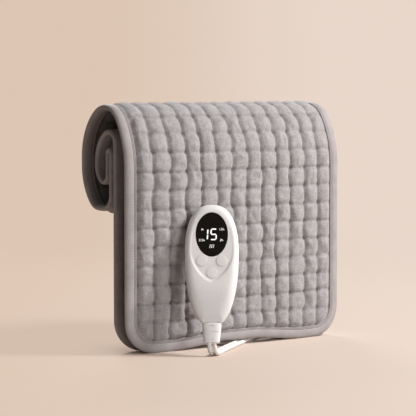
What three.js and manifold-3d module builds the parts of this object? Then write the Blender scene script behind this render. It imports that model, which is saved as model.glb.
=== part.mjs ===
// A quilted heating pad, folded in two and rolled back over itself so that it stands on its two bound ends.
// Its hand controller leans on the front, and both of its leads run back under the pad.
// Millimetres. X runs along the pad's width, the front panel faces -Y and Z is up from the floor.
import * as THREE from 'three';
import { mergeVertices } from 'three/addons/utils/BufferGeometryUtils.js';
import Module from 'manifold-3d';

const wasm = await Module();
wasm.setup();

// The pad's sheet: two quilted covers, a felt that carries the heating wire, and a tape bound round the edge.
const PAD_WIDTH = 300;
const CORNER_RADIUS = 36;
const TAPE_WIDTH = 13;
const TAPE_WALL = 0.8;
const TAPE_NOSE = 3.6;
const TAPE_ROUNDING = 1.3;
const COLUMNS = 13;
const QUILT_GAP = 0.8;
const COVER_AT_SEAM = 1.2;
const COVER_AT_EDGE = 0.5;
const COVER_TUCK = 9;
const PUFF_RISE = 3.6;
const PRESSED_RISE = 0.3;
const FELT_THICKNESS = 0.9;
const FELT_TUCK = 10;
const WIRE_DIAMETER = 0.8;
const WIRE_PITCH = 44;
const WIRE_MARGIN = 14;
const WIRE_CORNER = 6;
const PLY_GAP = 0.25;

// The sheet's side profile, walked from the front panel's foot over the roll to the rear panel's foot.
const FRONT_RISE = 205;
const SHOULDER_RADIUS = 95;
const SHOULDER_TURN = 35;
const CROWN_RADIUS = 33;
const CROWN_TURN = 90;
const BACK_RADIUS = 62;
const BACK_DROP = 10;
const UNDER_RADIUS = 58;
const UNDER_TURN = 45;
const HEEL_RADIUS = 20;
const TONGUE_RADIUS = 16;
const TONGUE_RISE = 46;
const FOLD_GAP = 1.6;
const FOLD_DROP = 24;
const CURL_RADIUS = 8.5;
const CURL_TURN = 120;
const INNER_BACK_RADIUS = 20;
const INNER_RISE = 5;
const INNER_SHOULDER_RADIUS = 36;
const INNER_SHOULDER_TURN = 60;
const PANEL_GAP = 10;
const LAYER_GAP = 3.4;
const ARC_STEP = 30;
const CORNER_STEPS = 3;

// The soft arches that lift the two end edges over the leads.
const ARCH_FRONT_X = 1;
const ARCH_REAR_X = 34;
const ARCH_LIFT = 6.2;
const ARCH_HALF = 17;
const ARCH_RAMP = 26;
const ARCH_REACH = 60;
const EDGE_BOW = 6.5;
const BOW_COLUMNS = 3;

// The controller in its own frame: x to its right, y away from its face, z up from its strain relief.
const BODY_WIDTH = 60;
const BODY_RISE = 55;
const BODY_WIDEST = 78;
const BODY_TAIL = 4.4;
const RISE_POWER = 2.4;
const FALL_POWER = 2.2;
const FRONT_DEPTH = 12;
const BACK_DEPTH = 10;
const FACE_INSET = 7;
const BACK_INSET = 9;
const TAIL_SLOPE = 1.6;
const SHELL_WALL = 2;
const RECESS_INSET = 5.4;
const RECESS_FALL = 33.5;
const RECESS_POWER = 1.3;
const RECESS_DEPTH = 0.8;
const FIT = 0.3;
const DISPLAY_WIDTH = 35.6;
const DISPLAY_HEIGHT = 49.8;
const DISPLAY_RAISE = 19.7;
const LENS_THICKNESS = 1.5;
const MODULE_WIDTH = 24;
const MODULE_HEIGHT = 34;
const BUTTON_DIAMETER = 12.4;
const BUTTON_PROUD = 0.5;
const BUTTON_TRAVEL = 1;
const BUTTON_FLANGE = 0.7;
const BUTTON_STEM = 4;
const UPPER_BUTTON_X = 11;
const UPPER_BUTTON_DROP = 10;
const LOWER_BUTTON_DROP = 23.3;
const BOARD_FRONT = 1;
const BOARD_THICKNESS = 1.6;
const BOARD_INSET = 6;
const SWITCH_SIZE = 6;
const SWITCH_HEIGHT = 3.5;
const PLUNGER_DIAMETER = 3.4;
const BOSS_DIAMETER = 6.4;
const BOARD_SCREW_X = 15;
const BOARD_SCREW_DROP = 28;
const HOUSING_SCREW_X = 12;
const HOUSING_SCREW_DROP = 9;
const SCREW_DIAMETER = 2;
const SCREW_HEAD = 4.4;
const SCREW_HEAD_HEIGHT = 1.5;
const SCREW_TUBE_WALL = 1.7;
const TERMINAL_WIDTH = 18;
const TERMINAL_DEPTH = 6;
const TERMINAL_HEIGHT = 8;
const TERMINAL_GAP = 5.7;
const TERMINAL_RAISE = 8;
const CAPACITOR_WIDTH = 18;
const CAPACITOR_DEPTH = 5.5;
const CAPACITOR_HEIGHT = 12;
const TRIAC_WIDTH = 10;
const TRIAC_DEPTH = 4.4;
const TRIAC_HEIGHT = 9;
const TRIAC_X = -8;
const FUSE_DIAMETER = 4.6;
const FUSE_LENGTH = 12;
const FUSE_X = 9;
const FUSE_DROP = 6;
const INNER_LEAD_DIAMETER = 2.6;
const INNER_LEAD_SPACING = 7;
const INNER_LEAD_STRAIGHT = 3;
const INNER_LEAD_DROP = 7;
const INNER_LEAD_SWING = 0.8;
const RELIEF_LENGTH = 22;
const RELIEF_TOP_WIDTH = 21.6;
const RELIEF_END_WIDTH = 17.7;
const RELIEF_TOP_DEPTH = 10.6;
const RELIEF_END_DEPTH = 8.6;
const RELIEF_NECK_WIDTH = 12;
const RELIEF_NECK_DEPTH = 6;
const RELIEF_COLLAR = 3;
const RELIEF_COLLAR_LIP = 2;
const RELIEF_EDGE = 1;
const RELIEF_SLOTS = [0.25, 0.55, 0.82];
const RELIEF_SLOT_REACH = 0.55;
const RELIEF_SLOT_DEPTH = 1.2;
const RELIEF_SLOT_HEIGHT = 1.1;
const CONTROLLER_TURN = 35;
const CONTROLLER_LEAN = 16;
const RELIEF_END_X = -76.5;
const RELIEF_END_Y = -56;
const RELIEF_END_Z = 15;

// Both leads, the coils that their spare lengths lie in, their ties, the plug and the pad's cord gland.
const CORD_DIAMETER = 5;
const CORD_SPACING = 5.8;
const CORD_BEND = 9;
const LANE_SPACING = 5.6;
const COIL_PITCH = 5.6;
const COIL_FLOOR_GAP = 1.3;
const COIL_STEPS = 24;
const COIL_CLIMB = 0.22;
const LANE_MIDWAY = 0.55;
const LANE_STRAIGHT = 8;
const MAINS_COIL_RADIUS = 39.8;
const MAINS_COIL_LOOPS = 8;
const MAINS_COIL_AHEAD = 24;
const MAINS_TIE_ANGLE = 235;
const PAD_COIL_RADIUS = 31;
const PAD_COIL_LOOPS = 2;
const PAD_TIE_ANGLE = 305;
const PAD_LEAD_AHEAD = 15;
const PAD_LEAD_BEND = 22;
const TIE_WIDTH = 12;
const TIE_WALL = 0.9;
const TAIL_STRAIGHT = 1;
const TAIL_BEND = 22;
const PLUG_LENGTH = 34;
const PLUG_WIDTH = 26;
const PLUG_HEIGHT = 17;
const PLUG_RELIEF = 20;
const PLUG_NECK = 9;
const PLUG_SHOULDER = 10;
const PLUG_EDGE = 2;
const BLADE_SPACING = 12.7;
const BLADE_LENGTH = 17;
const BLADE_HEIGHT = 6.3;
const BLADE_THICKNESS = 1.5;
const BLADE_ROOT = 6;
const GLAND_X = 76;
const GLAND_WIDTH = 26;
const GLAND_HEIGHT = 6;
const GLAND_PLATE = 2.4;
const GLAND_BOOT = 18;
const GLAND_DIAMETER = 7.6;

const radians = THREE.MathUtils.degToRad;

// Levels through the sheet, measured from its mid surface, with the face side positive.
const sheetStack = 2 * COVER_AT_SEAM + FELT_THICKNESS + WIRE_DIAMETER + 3 * PLY_GAP;
const seamLevel = sheetStack / 2;
const coverInner = seamLevel - COVER_AT_SEAM;
const edgeLevel = coverInner + COVER_AT_EDGE;
const feltHigh = coverInner - PLY_GAP;
const feltLow = feltHigh - FELT_THICKNESS;
const wireLevel = feltLow - PLY_GAP - WIRE_DIAMETER / 2;
const slotLevel = edgeLevel + PLY_GAP;
const tapeLevel = slotLevel + TAPE_WALL;
const pressedHalf = Math.max(seamLevel + PRESSED_RISE, tapeLevel);
const puffLevel = seamLevel + PUFF_RISE;
const coverInset = TAPE_WIDTH - COVER_TUCK;
const feltInset = TAPE_WIDTH - FELT_TUCK;
const slotFloor = feltInset - PLY_GAP * 2;
const rearPanelY = 2 * puffLevel + PANEL_GAP;

// Makes a closed geometry of points and triangles, with every face turned the same way round, outwards.
function closedGeometry(points, faces) {
  const edgeName = (a, b) => (a < b ? `${a}_${b}` : `${b}_${a}`);
  const owners = new Map();
  faces.forEach((face, index) => {
    for (let k = 0; k < 3; k++) {
      const name = edgeName(face[k], face[(k + 1) % 3]);
      if (!owners.has(name)) owners.set(name, []);
      owners.get(name).push(index);
    }
  });
  const runsAlong = (face, a, b) => [0, 1, 2].some((k) => face[k] === a && face[(k + 1) % 3] === b);
  const turned = new Set([0]);
  const queue = [0];
  while (queue.length) {
    const face = faces[queue.pop()];
    for (let k = 0; k < 3; k++) {
      const a = face[k];
      const b = face[(k + 1) % 3];
      for (const other of owners.get(edgeName(a, b))) {
        if (turned.has(other)) continue;
        if (runsAlong(faces[other], a, b)) faces[other].reverse();
        turned.add(other);
        queue.push(other);
      }
    }
  }
  const volume = faces.reduce((sum, [a, b, c]) => {
    const cross = new THREE.Vector3().crossVectors(points[b], points[c]);
    return sum + points[a].dot(cross);
  }, 0);
  if (volume < 0) faces.forEach((face) => face.reverse());
  const geometry = new THREE.BufferGeometry();
  geometry.setAttribute('position', new THREE.Float32BufferAttribute(points.flatMap((p) => p.toArray()), 3));
  geometry.setIndex(faces.flat());
  return geometry;
}

// Skins a row of rings, each with as many points, and closes both ends on their middle points.
function loft(rings) {
  const count = rings[0].length;
  const points = rings.flat();
  const faces = [];
  for (let r = 0; r < rings.length - 1; r++) {
    for (let k = 0; k < count; k++) {
      const a = r * count + k;
      const b = r * count + ((k + 1) % count);
      faces.push([a, b, b + count], [a, b + count, a + count]);
    }
  }
  for (const r of [0, rings.length - 1]) {
    const middle = rings[r].reduce((sum, p) => sum.add(p), new THREE.Vector3()).divideScalar(count);
    points.push(middle);
    for (let k = 0; k < count; k++) {
      faces.push([r * count + k, r * count + ((k + 1) % count), points.length - 1]);
    }
  }
  return closedGeometry(points, faces);
}

// Turns a closed geometry into a solid that can be joined and cut, and back.
function solidOf(geometry) {
  const bare = geometry.clone();
  for (const name of ['normal', 'uv']) bare.deleteAttribute(name);
  const merged = mergeVertices(bare);
  const vertProperties = Float32Array.from(merged.attributes.position.array);
  const triVerts = Uint32Array.from(merged.index.array);
  return new wasm.Manifold(new wasm.Mesh({ numProp: 3, vertProperties, triVerts }));
}

function geometryOf(solid) {
  const mesh = solid.getMesh();
  const geometry = new THREE.BufferGeometry();
  geometry.setAttribute('position', new THREE.Float32BufferAttribute(Array.from(mesh.vertProperties), 3));
  geometry.setIndex(Array.from(mesh.triVerts));
  return geometry;
}

function joined(base, ...extras) {
  return extras.reduce((solid, extra) => solid.add(solidOf(extra)), base);
}

function cut(base, ...tools) {
  return tools.reduce((solid, tool) => solid.subtract(solidOf(tool)), base);
}

function finish(color, roughness, metalness = 0) {
  return new THREE.MeshStandardMaterial({ color, roughness, metalness });
}

const fleece = finish(0x8f8b8c, 0.95);
const reverseFleece = finish(0x7e797a, 0.95);
const tape = finish(0x908c8f, 0.8);
const feltCloth = finish(0xd8d4cc, 1);
const wireSheath = finish(0xe3dccb, 0.6);
const whiteShell = finish(0xe8e3df, 0.45);
const blackGlass = finish(0x0d0b0a, 0.15);
const displayBlock = finish(0x1b1a1a, 0.5);
const boardGreen = finish(0x2c5b3c, 0.6);
const switchBlack = finish(0x202020, 0.6);
const componentTan = finish(0xb98b4a, 0.6);
const steel = finish(0xb5b5b3, 0.35, 1);
const brass = finish(0xc9b27a, 0.3, 1);
const cordWhite = finish(0xe6e1db, 0.5);
const tieGrey = finish(0x6d6a6c, 0.8);

const assembly = new THREE.Group();
const cordNodes = new THREE.Group();
const pad = new THREE.Group();
const controller = new THREE.Group();
assembly.add(pad, controller, cordNodes);

function put(parent, name, geometry, material) {
  const mesh = new THREE.Mesh(geometry, material);
  mesh.name = name;
  parent.add(mesh);
  return mesh;
}

// Walks the sheet's mid surface in the side plane as straight runs and arcs, y backwards and z up.
function walkProfile() {
  const points = [{ y: 0, z: 0 }];
  const marks = {};
  let heading = Math.PI / 2;
  const here = () => points.at(-1);
  const between = (p, q) => Math.hypot(p.y - q.y, p.z - q.z);
  const distance = () => points.slice(1).reduce((sum, p, i) => sum + between(p, points[i]), 0);
  const mark = (name) => { marks[name] = distance(); };
  const run = (length) => {
    points.push({ y: here().y + length * Math.cos(heading), z: here().z + length * Math.sin(heading) });
  };
  // A positive turn bends backwards over the top, and a negative one the other way.
  const arc = (radius, turn) => {
    const side = Math.sign(turn) * radius;
    const start = heading;
    const centre = { y: here().y + side * Math.sin(start), z: here().z - side * Math.cos(start) };
    const steps = Math.ceil(Math.abs(turn) / ARC_STEP);
    for (let k = 1; k <= steps; k++) {
      heading = start - (radians(turn) * k) / steps;
      points.push({ y: centre.y - side * Math.sin(heading), z: centre.z + side * Math.cos(heading) });
    }
  };
  const tongueY = rearPanelY + 2 * pressedHalf + LAYER_GAP;
  run(FRONT_RISE);
  arc(SHOULDER_RADIUS, SHOULDER_TURN);
  arc(CROWN_RADIUS, CROWN_TURN);
  arc(BACK_RADIUS, 180 - SHOULDER_TURN - CROWN_TURN);
  run(BACK_DROP);
  arc(UNDER_RADIUS, UNDER_TURN);
  arc(HEEL_RADIUS, 90 - UNDER_TURN);
  run(here().y - TONGUE_RADIUS - tongueY);
  mark('tongue');
  arc(TONGUE_RADIUS, 90);
  marks.heel = here().z - TONGUE_RADIUS;
  run(TONGUE_RISE);
  arc(pressedHalf + FOLD_GAP / 2, 180);
  run(FOLD_DROP);
  arc(CURL_RADIUS, -CURL_TURN);
  mark('curlEnd');
  arc(INNER_BACK_RADIUS, CURL_TURN - 180);
  run(INNER_RISE);
  arc(INNER_SHOULDER_RADIUS, -INNER_SHOULDER_TURN);
  arc((here().y - rearPanelY) / (1 + Math.sin(heading)), INNER_SHOULDER_TURN - 180);
  marks.pressedEnd = distance() + here().z - marks.heel;
  run(here().z);
  return { points, marks };
}

const profile = walkProfile();

// Each corner of the profile gets its distance along the sheet and the offset that keeps layers parallel.
function surveyProfile(points) {
  const headings = points.slice(1).map((p, i) => Math.atan2(p.z - points[i].z, p.y - points[i].y));
  let along = 0;
  return points.map((p, i) => {
    if (i) along += Math.hypot(p.y - points[i - 1].y, p.z - points[i - 1].z);
    const before = headings[Math.max(i - 1, 0)];
    const after = headings[Math.min(i, headings.length - 1)];
    const bend = Math.atan2(Math.sin(after - before), Math.cos(after - before));
    const middle = before + bend / 2;
    const reach = 1 / Math.cos(bend / 2);
    const faceY = -Math.sin(middle) * reach;
    const faceZ = Math.cos(middle) * reach;
    return { y: p.y, z: p.z, s: along, bend, faceY, faceZ };
  });
}

const stations = surveyProfile(profile.points);
const sheetLength = stations.at(-1).s;
const fieldInset = TAPE_WIDTH + QUILT_GAP;
const cellPitch = (PAD_WIDTH - 2 * fieldInset) / COLUMNS;
const rowCount = Math.round((sheetLength - 2 * fieldInset) / cellPitch);
const rowPitch = (sheetLength - 2 * fieldInset) / rowCount;

// How far an end edge is raised where the leads pass under it.
function archLift(x, fromEnd) {
  const across = THREE.MathUtils.smoothstep(Math.abs(x), ARCH_HALF, ARCH_HALF + ARCH_RAMP);
  const up = THREE.MathUtils.clamp(1 - fromEnd / ARCH_REACH, 0, 1);
  return ARCH_LIFT * (1 - across) * up;
}

// The pad's sides lean back a little, from a seam some columns in from each edge.
const bowFrom = PAD_WIDTH / 2 - fieldInset - BOW_COLUMNS * cellPitch;
function edgeBow(u) {
  return (EDGE_BOW * Math.max(0, Math.abs(u) - bowFrom)) / (PAD_WIDTH / 2 - bowFrom);
}

// The point of the folded sheet at width u, distance s along it and height n over its mid surface.
function sheetPoint(u, s, n) {
  let i = 0;
  while (i < stations.length - 2 && stations[i + 1].s < s) i++;
  const a = stations[i];
  const b = stations[i + 1];
  const t = (s - a.s) / (b.s - a.s);
  const mix = (key) => a[key] + (b[key] - a[key]) * t;
  const lift = archLift(u - ARCH_FRONT_X, s) + archLift(u - ARCH_REAR_X, sheetLength - s);
  const y = mix('y') + n * mix('faceY') + edgeBow(u);
  return new THREE.Vector3(u, y, mix('z') + n * mix('faceZ') + lift);
}

// A mesh drawn on the flat sheet, where points are shared and chains of points are bridged by triangles.
class SheetMesh {
  constructor() {
    this.places = [];
    this.known = new Map();
    this.faces = [];
  }

  at(u, s, n) {
    const name = [u, s, n].map((v) => v.toFixed(4)).join(' ');
    if (!this.known.has(name)) {
      this.known.set(name, this.places.length);
      this.places.push({ u, s, n });
    }
    return this.known.get(name);
  }

  apart(a, b) {
    return Math.hypot(this.places[a].u - this.places[b].u, this.places[a].s - this.places[b].s);
  }

  bridge(a, b) {
    let i = 0;
    let j = 0;
    while (i < a.length - 1 || j < b.length - 1) {
      const lastA = i === a.length - 1;
      const lastB = j === b.length - 1;
      const alongA = lastB || (!lastA && this.apart(a[i + 1], b[j]) <= this.apart(a[i], b[j + 1]));
      if (alongA) {
        this.faces.push([a[i], a[i + 1], b[j]]);
        i++;
      } else {
        this.faces.push([a[i], b[j + 1], b[j]]);
        j++;
      }
    }
  }

  bridgeLoops(a, b) {
    this.bridge([...a, a[0]], [...b, b[0]]);
  }

  fan(middle, ring) {
    ring.forEach((p, k) => this.faces.push([middle, p, ring[(k + 1) % ring.length]]));
  }

  geometry() {
    return closedGeometry(this.places.map(({ u, s, n }) => sheetPoint(u, s, n)), this.faces);
  }
}

const flatSide = PAD_WIDTH / 2 - CORNER_RADIUS;

// The sheet's outline, inset by a distance, as rows from one end to the other and as one loop.
function endRow(inset, rear) {
  const middle = rear ? ARCH_REAR_X : ARCH_FRONT_X;
  const steps = [ARCH_HALF, ARCH_HALF + ARCH_RAMP / 2, ARCH_HALF + ARCH_RAMP];
  const left = steps.map((step) => middle - step).reverse();
  const right = steps.map((step) => middle + step);
  const s = rear ? sheetLength - inset : inset;
  const widths = [-flatSide, -bowFrom, ...left, ...right, bowFrom, flatSide].sort((a, b) => a - b);
  return widths.map((u) => [u, s]);
}

function sideStations(inset) {
  const radius = CORNER_RADIUS - inset;
  const corner = (k) => (Math.PI / 2) * (k / CORNER_STEPS);
  const list = [];
  for (let k = 1; k <= CORNER_STEPS; k++) {
    list.push([flatSide + radius * Math.sin(corner(k)), CORNER_RADIUS - radius * Math.cos(corner(k))]);
  }
  for (const { s } of stations) {
    if (s > CORNER_RADIUS && s < sheetLength - CORNER_RADIUS) list.push([PAD_WIDTH / 2 - inset, s]);
  }
  for (let k = 0; k < CORNER_STEPS; k++) {
    const s = sheetLength - CORNER_RADIUS + radius * Math.sin(corner(k));
    list.push([flatSide + radius * Math.cos(corner(k)), s]);
  }
  return list;
}

function outlineRows(inset) {
  const inner = sideStations(inset).map(([u, s]) => [[-u, s], [-bowFrom, s], [bowFrom, s], [u, s]]);
  return [endRow(inset, false), ...inner, endRow(inset, true)];
}

function outlineLoop(inset) {
  const right = sideStations(inset);
  const left = right.map(([u, s]) => [-u, s]).reverse();
  return [...endRow(inset, false), ...right, ...endRow(inset, true).reverse(), ...left];
}

const onSheet = (mesh, list, n) => list.map(([u, s]) => mesh.at(u, s, n));

function addLevelFace(mesh, inset, n) {
  const rows = outlineRows(inset).map((row) => onSheet(mesh, row, n));
  for (let r = 0; r < rows.length - 1; r++) mesh.bridge(rows[r], rows[r + 1]);
}

function addEdgeWall(mesh, inset, low, high) {
  const loop = outlineLoop(inset);
  mesh.bridgeLoops(onSheet(mesh, loop, low), onSheet(mesh, loop, high));
}

// The heater felt, a plain sheet right through the fold.
function feltGeometry() {
  const mesh = new SheetMesh();
  addLevelFace(mesh, feltInset, feltLow);
  addLevelFace(mesh, feltInset, feltHigh);
  addEdgeWall(mesh, feltInset, feltLow, feltHigh);
  return mesh.geometry();
}

const fieldSide = PAD_WIDTH / 2 - fieldInset;
const columnAt = (j) => -fieldSide + j * cellPitch;
const rowAt = (i) => fieldInset + i * rowPitch;
const sameLine = 0.01;

function bendsWithin(from, to) {
  return stations.filter(({ s, bend }) => bend !== 0 && s > from + sameLine && s < to - sameLine);
}

// The quilted field is drawn in along the tape's rounded corners, inside their straight steps.
const fieldCorner = (CORNER_RADIUS - fieldInset) * Math.cos(Math.PI / 4 / CORNER_STEPS);
const cornerReach = (deep) => CORNER_RADIUS - Math.sqrt(fieldCorner ** 2 - deep ** 2);

function fieldHalf(s) {
  const deep = CORNER_RADIUS - Math.min(s, sheetLength - s);
  return deep > 0 ? PAD_WIDTH / 2 - cornerReach(deep) : fieldSide;
}

function fieldEnd(u) {
  const deep = Math.abs(u) - flatSide;
  return deep > 0 ? cornerReach(deep) : fieldInset;
}

// A crossing of the quilt's seams; one on the field's rim follows the rim.
function fieldPoint(mesh, j, i, n) {
  const sideRim = j === 0 || j === COLUMNS;
  const endRim = i === 0 || i === rowCount;
  const cornerInset = CORNER_RADIUS - fieldCorner * Math.SQRT1_2;
  let u = columnAt(j);
  let fromEnd = fieldEnd(u);
  if (sideRim && endRim) {
    fromEnd = cornerInset;
    u = Math.sign(u) * (PAD_WIDTH / 2 - cornerInset);
  } else if (sideRim) {
    u = Math.sign(u) * fieldHalf(rowAt(i));
  }
  const endPlace = i === 0 ? fromEnd : sheetLength - fromEnd;
  return mesh.at(u, endRim ? endPlace : rowAt(i), n);
}

// Bridges a cover's rim to its quilted field and closes its inner face.
function closeCover(mesh, side, fieldLoop) {
  addLevelFace(mesh, coverInset, side * coverInner);
  addEdgeWall(mesh, coverInset, side * coverInner, side * edgeLevel);
  mesh.bridgeLoops(onSheet(mesh, outlineLoop(coverInset), side * edgeLevel), fieldLoop);
}

// The face cover: a puff over each sewn cell, pressed flat in the folds inside the roll and behind it.
function frontCoverGeometry() {
  const mesh = new SheetMesh();
  const pressed = (i) => rowAt(i + 0.5) > profile.marks.tongue && rowAt(i) < profile.marks.pressedEnd;
  const isRim = (j, i) => j === 0 || j === COLUMNS || i === 0 || i === rowCount;
  const columns = Array.from({ length: COLUMNS + 1 }, (_, j) => j);
  const line = (i) => columns.map((j) => fieldPoint(mesh, j, i, isRim(j, i) ? edgeLevel : seamLevel));
  const bendsOf = (i) => bendsWithin(rowAt(i), rowAt(i + 1));
  const sharp = (i) => bendsOf(i).some(({ bend }) => Math.abs(bend) > radians(ARC_STEP / 4));
  const columnSide = (j, i) => {
    const rim = j === 0 || j === COLUMNS;
    if (!rim && !sharp(i)) return [];
    return bendsOf(i).map(({ s }) => mesh.at(columnAt(j), s, rim ? edgeLevel : seamLevel));
  };
  const flatChain = (s) => [
    mesh.at(columnAt(0), s, edgeLevel),
    ...[0.5, BOW_COLUMNS, COLUMNS - BOW_COLUMNS, COLUMNS - 0.5].map(
      (j) => mesh.at(columnAt(j), s, seamLevel + PRESSED_RISE),
    ),
    mesh.at(columnAt(COLUMNS), s, edgeLevel),
  ];
  for (let i = 0; i < rowCount; i++) {
    if (pressed(i)) {
      const first = pressed(i - 1) ? flatChain(rowAt(i)) : line(i);
      const last = pressed(i + 1) ? flatChain(rowAt(i + 1)) : line(i + 1);
      const chains = [first, ...bendsOf(i).map(({ s }) => flatChain(s)), last];
      for (let k = 0; k < chains.length - 1; k++) mesh.bridge(chains[k], chains[k + 1]);
      continue;
    }
    const low = line(i);
    const high = line(i + 1);
    for (let j = 0; j < COLUMNS; j++) {
      const apex = mesh.at(columnAt(j + 0.5), rowAt(i + 0.5), puffLevel);
      const rightSide = columnSide(j + 1, i);
      const leftSide = columnSide(j, i).reverse();
      mesh.fan(apex, [low[j], low[j + 1], ...rightSide, high[j + 1], high[j], ...leftSide]);
    }
  }
  const sideOf = (j) => {
    const list = [];
    for (let i = 0; i <= rowCount; i++) {
      list.push(fieldPoint(mesh, j, i, edgeLevel));
      if (i < rowCount) list.push(...columnSide(j, i));
    }
    return list;
  };
  const start = line(0).slice(0, -1);
  const end = line(rowCount).slice(1, -1).reverse();
  closeCover(mesh, 1, [...start, ...sideOf(COLUMNS), ...end, ...sideOf(0).slice(1).reverse()]);
  return mesh.geometry();
}

// The reverse cover: the same cross seams with a rounded rib between them, flat inside the fold.
function backCoverGeometry() {
  const mesh = new SheetMesh();
  const pressed = (s) => s > profile.marks.tongue && s < profile.marks.curlEnd;
  const rib = (s) => {
    const share = ((s - fieldInset) / rowPitch) % 1;
    const rise = pressed(s) ? PRESSED_RISE : PUFF_RISE;
    return seamLevel + rise * (1 - Math.abs(2 * share - 1));
  };
  // Near an end the chain follows that end's arch; elsewhere it only bends where the sides lean back.
  const innerWidths = (s) => {
    const rear = s > sheetLength / 2;
    const fromEnd = rear ? sheetLength - s : s;
    const arched = fromEnd < ARCH_REACH + rowPitch;
    const middle = arched ? endRow(0, rear).slice(1, -1).map(([u]) => u) : [-bowFrom, bowFrom];
    return [columnAt(1), ...middle, columnAt(COLUMNS - 1)];
  };
  const chainAt = (s) => [
    mesh.at(-fieldHalf(s), s, -edgeLevel),
    ...innerWidths(s).map((u) => mesh.at(u, s, -rib(s))),
    mesh.at(fieldHalf(s), s, -edgeLevel),
  ];
  const endChain = (i) => [
    fieldPoint(mesh, 0, i, -edgeLevel),
    ...innerWidths(rowAt(i)).map((u) => mesh.at(u, i ? sheetLength - fieldEnd(u) : fieldEnd(u), -edgeLevel)),
    fieldPoint(mesh, COLUMNS, i, -edgeLevel),
  ];
  const lines = [];
  for (let i = 0; i < rowCount; i++) {
    if (i) lines.push(rowAt(i));
    lines.push(rowAt(i + 0.5));
  }
  const bends = bendsWithin(rowAt(0), rowAt(rowCount)).map(({ s }) => s);
  const clear = bends.filter((s) => lines.every((other) => Math.abs(other - s) > sameLine));
  const inner = [...lines, ...clear].sort((a, b) => a - b).map(chainAt);
  const chains = [endChain(0), ...inner, endChain(rowCount)];
  for (let k = 0; k < chains.length - 1; k++) mesh.bridge(chains[k], chains[k + 1]);
  const right = chains.map((chain) => chain.at(-1));
  const left = chains.map((chain) => chain[0]).reverse();
  const end = chains.at(-1).slice(1, -1).reverse();
  closeCover(mesh, -1, [...chains[0].slice(0, -1), ...right, ...end, ...left.slice(0, -1)]);
  return mesh.geometry();
}

// The binding tape, folded over the sheet's edge all the way round, flat along its nose to stand on.
function bindingGeometry() {
  const section = [
    [TAPE_WIDTH, tapeLevel],
    [TAPE_ROUNDING, tapeLevel],
    [0, TAPE_NOSE / 2],
    [0, -TAPE_NOSE / 2],
    [TAPE_ROUNDING, -tapeLevel],
    [TAPE_WIDTH, -tapeLevel],
    [TAPE_WIDTH, -slotLevel],
    [slotFloor, -slotLevel],
    [slotFloor, slotLevel],
    [TAPE_WIDTH, slotLevel],
  ];
  const mesh = new SheetMesh();
  const loops = section.map(([inset, n]) => onSheet(mesh, outlineLoop(inset), n));
  loops.forEach((loop, k) => {
    const next = loops[(k + 1) % loops.length];
    loop.forEach((a, i) => {
      const i2 = (i + 1) % loop.length;
      mesh.faces.push([a, loop[i2], next[i2]], [a, next[i2], next[i]]);
    });
  });
  return mesh.geometry();
}

// The heating wire, laid to and fro across the sheet between the felt and the reverse cover.
function heatingWireGeometry() {
  const reach = fieldSide - WIRE_MARGIN;
  const first = TAPE_WIDTH + WIRE_MARGIN;
  const runs = Math.floor((sheetLength - 2 * first) / WIRE_PITCH);
  const route = [];
  for (let k = 0; k <= runs; k++) {
    const side = k % 2 ? -1 : 1;
    const s = first + k * WIRE_PITCH;
    if (k) route.push([-side * reach, s - WIRE_CORNER]);
    route.push([-side * (reach - WIRE_CORNER), s], [side * (reach - WIRE_CORNER), s]);
    if (k < runs) route.push([side * reach, s + WIRE_CORNER]);
  }
  const path = route.flatMap(([u, s], k) => {
    if (!k) return [[u, s]];
    const [u0, s0] = route[k - 1];
    const crossings = bendsWithin(s0, s).map((bend) => [u0 + ((u - u0) * (bend.s - s0)) / (s - s0), bend.s]);
    const leans = [-bowFrom, bowFrom].filter((w) => (w - u0) * (w - u) < 0);
    if (u < u0) leans.reverse();
    return [...crossings, ...leans.map((w) => [w, s0 + ((s - s0) * (w - u0)) / (u - u0)]), [u, s]];
  });
  const points = [];
  const faces = [];
  const half = WIRE_DIAMETER / 2;
  path.forEach(([u, s], k) => {
    const before = path[Math.max(k - 1, 0)];
    const after = path[Math.min(k + 1, path.length - 1)];
    const into = new THREE.Vector2(u - before[0], s - before[1]).normalize();
    const out = new THREE.Vector2(after[0] - u, after[1] - s).normalize();
    const along = into.clone().add(out).normalize();
    const turn = Math.max(into.lengthSq() ? into.dot(along) : 1, out.lengthSq() ? out.dot(along) : 1);
    const across = [-along.y * (half / turn), along.x * (half / turn)];
    for (const [side, level] of [[1, 1], [-1, 1], [-1, -1], [1, -1]]) {
      points.push(sheetPoint(u + side * across[0], s + side * across[1], wireLevel + level * half));
    }
    if (!k) return;
    for (let m = 0; m < 4; m++) {
      const a = (k - 1) * 4 + m;
      const b = (k - 1) * 4 + ((m + 1) % 4);
      faces.push([a, b, b + 4], [a, b + 4, a + 4]);
    }
  });
  const end = points.length - 4;
  faces.push([0, 1, 2], [0, 2, 3], [end, end + 1, end + 2], [end, end + 2, end + 3]);
  return closedGeometry(points, faces);
}

put(pad, 'front_cover', frontCoverGeometry(), fleece);
put(pad, 'back_cover', backCoverGeometry(), reverseFleece);
put(pad, 'heater_felt', feltGeometry(), feltCloth);
put(pad, 'heating_wire', heatingWireGeometry(), wireSheath);
put(pad, 'edge_binding', bindingGeometry(), tape);

// Blocks, rods and rounded plates in the controller's own frame, given by their middle and sizes.
function block(width, depth, height, x, y, z) {
  return new THREE.BoxGeometry(width, depth, height).translate(x, y, z);
}

// A round rod along the controller's y axis between two depths.
function rod(diameter, from, to, x, z, sides = 14) {
  const geometry = new THREE.CylinderGeometry(diameter / 2, diameter / 2, Math.abs(to - from), sides);
  return geometry.translate(x, (from + to) / 2, z);
}

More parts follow.
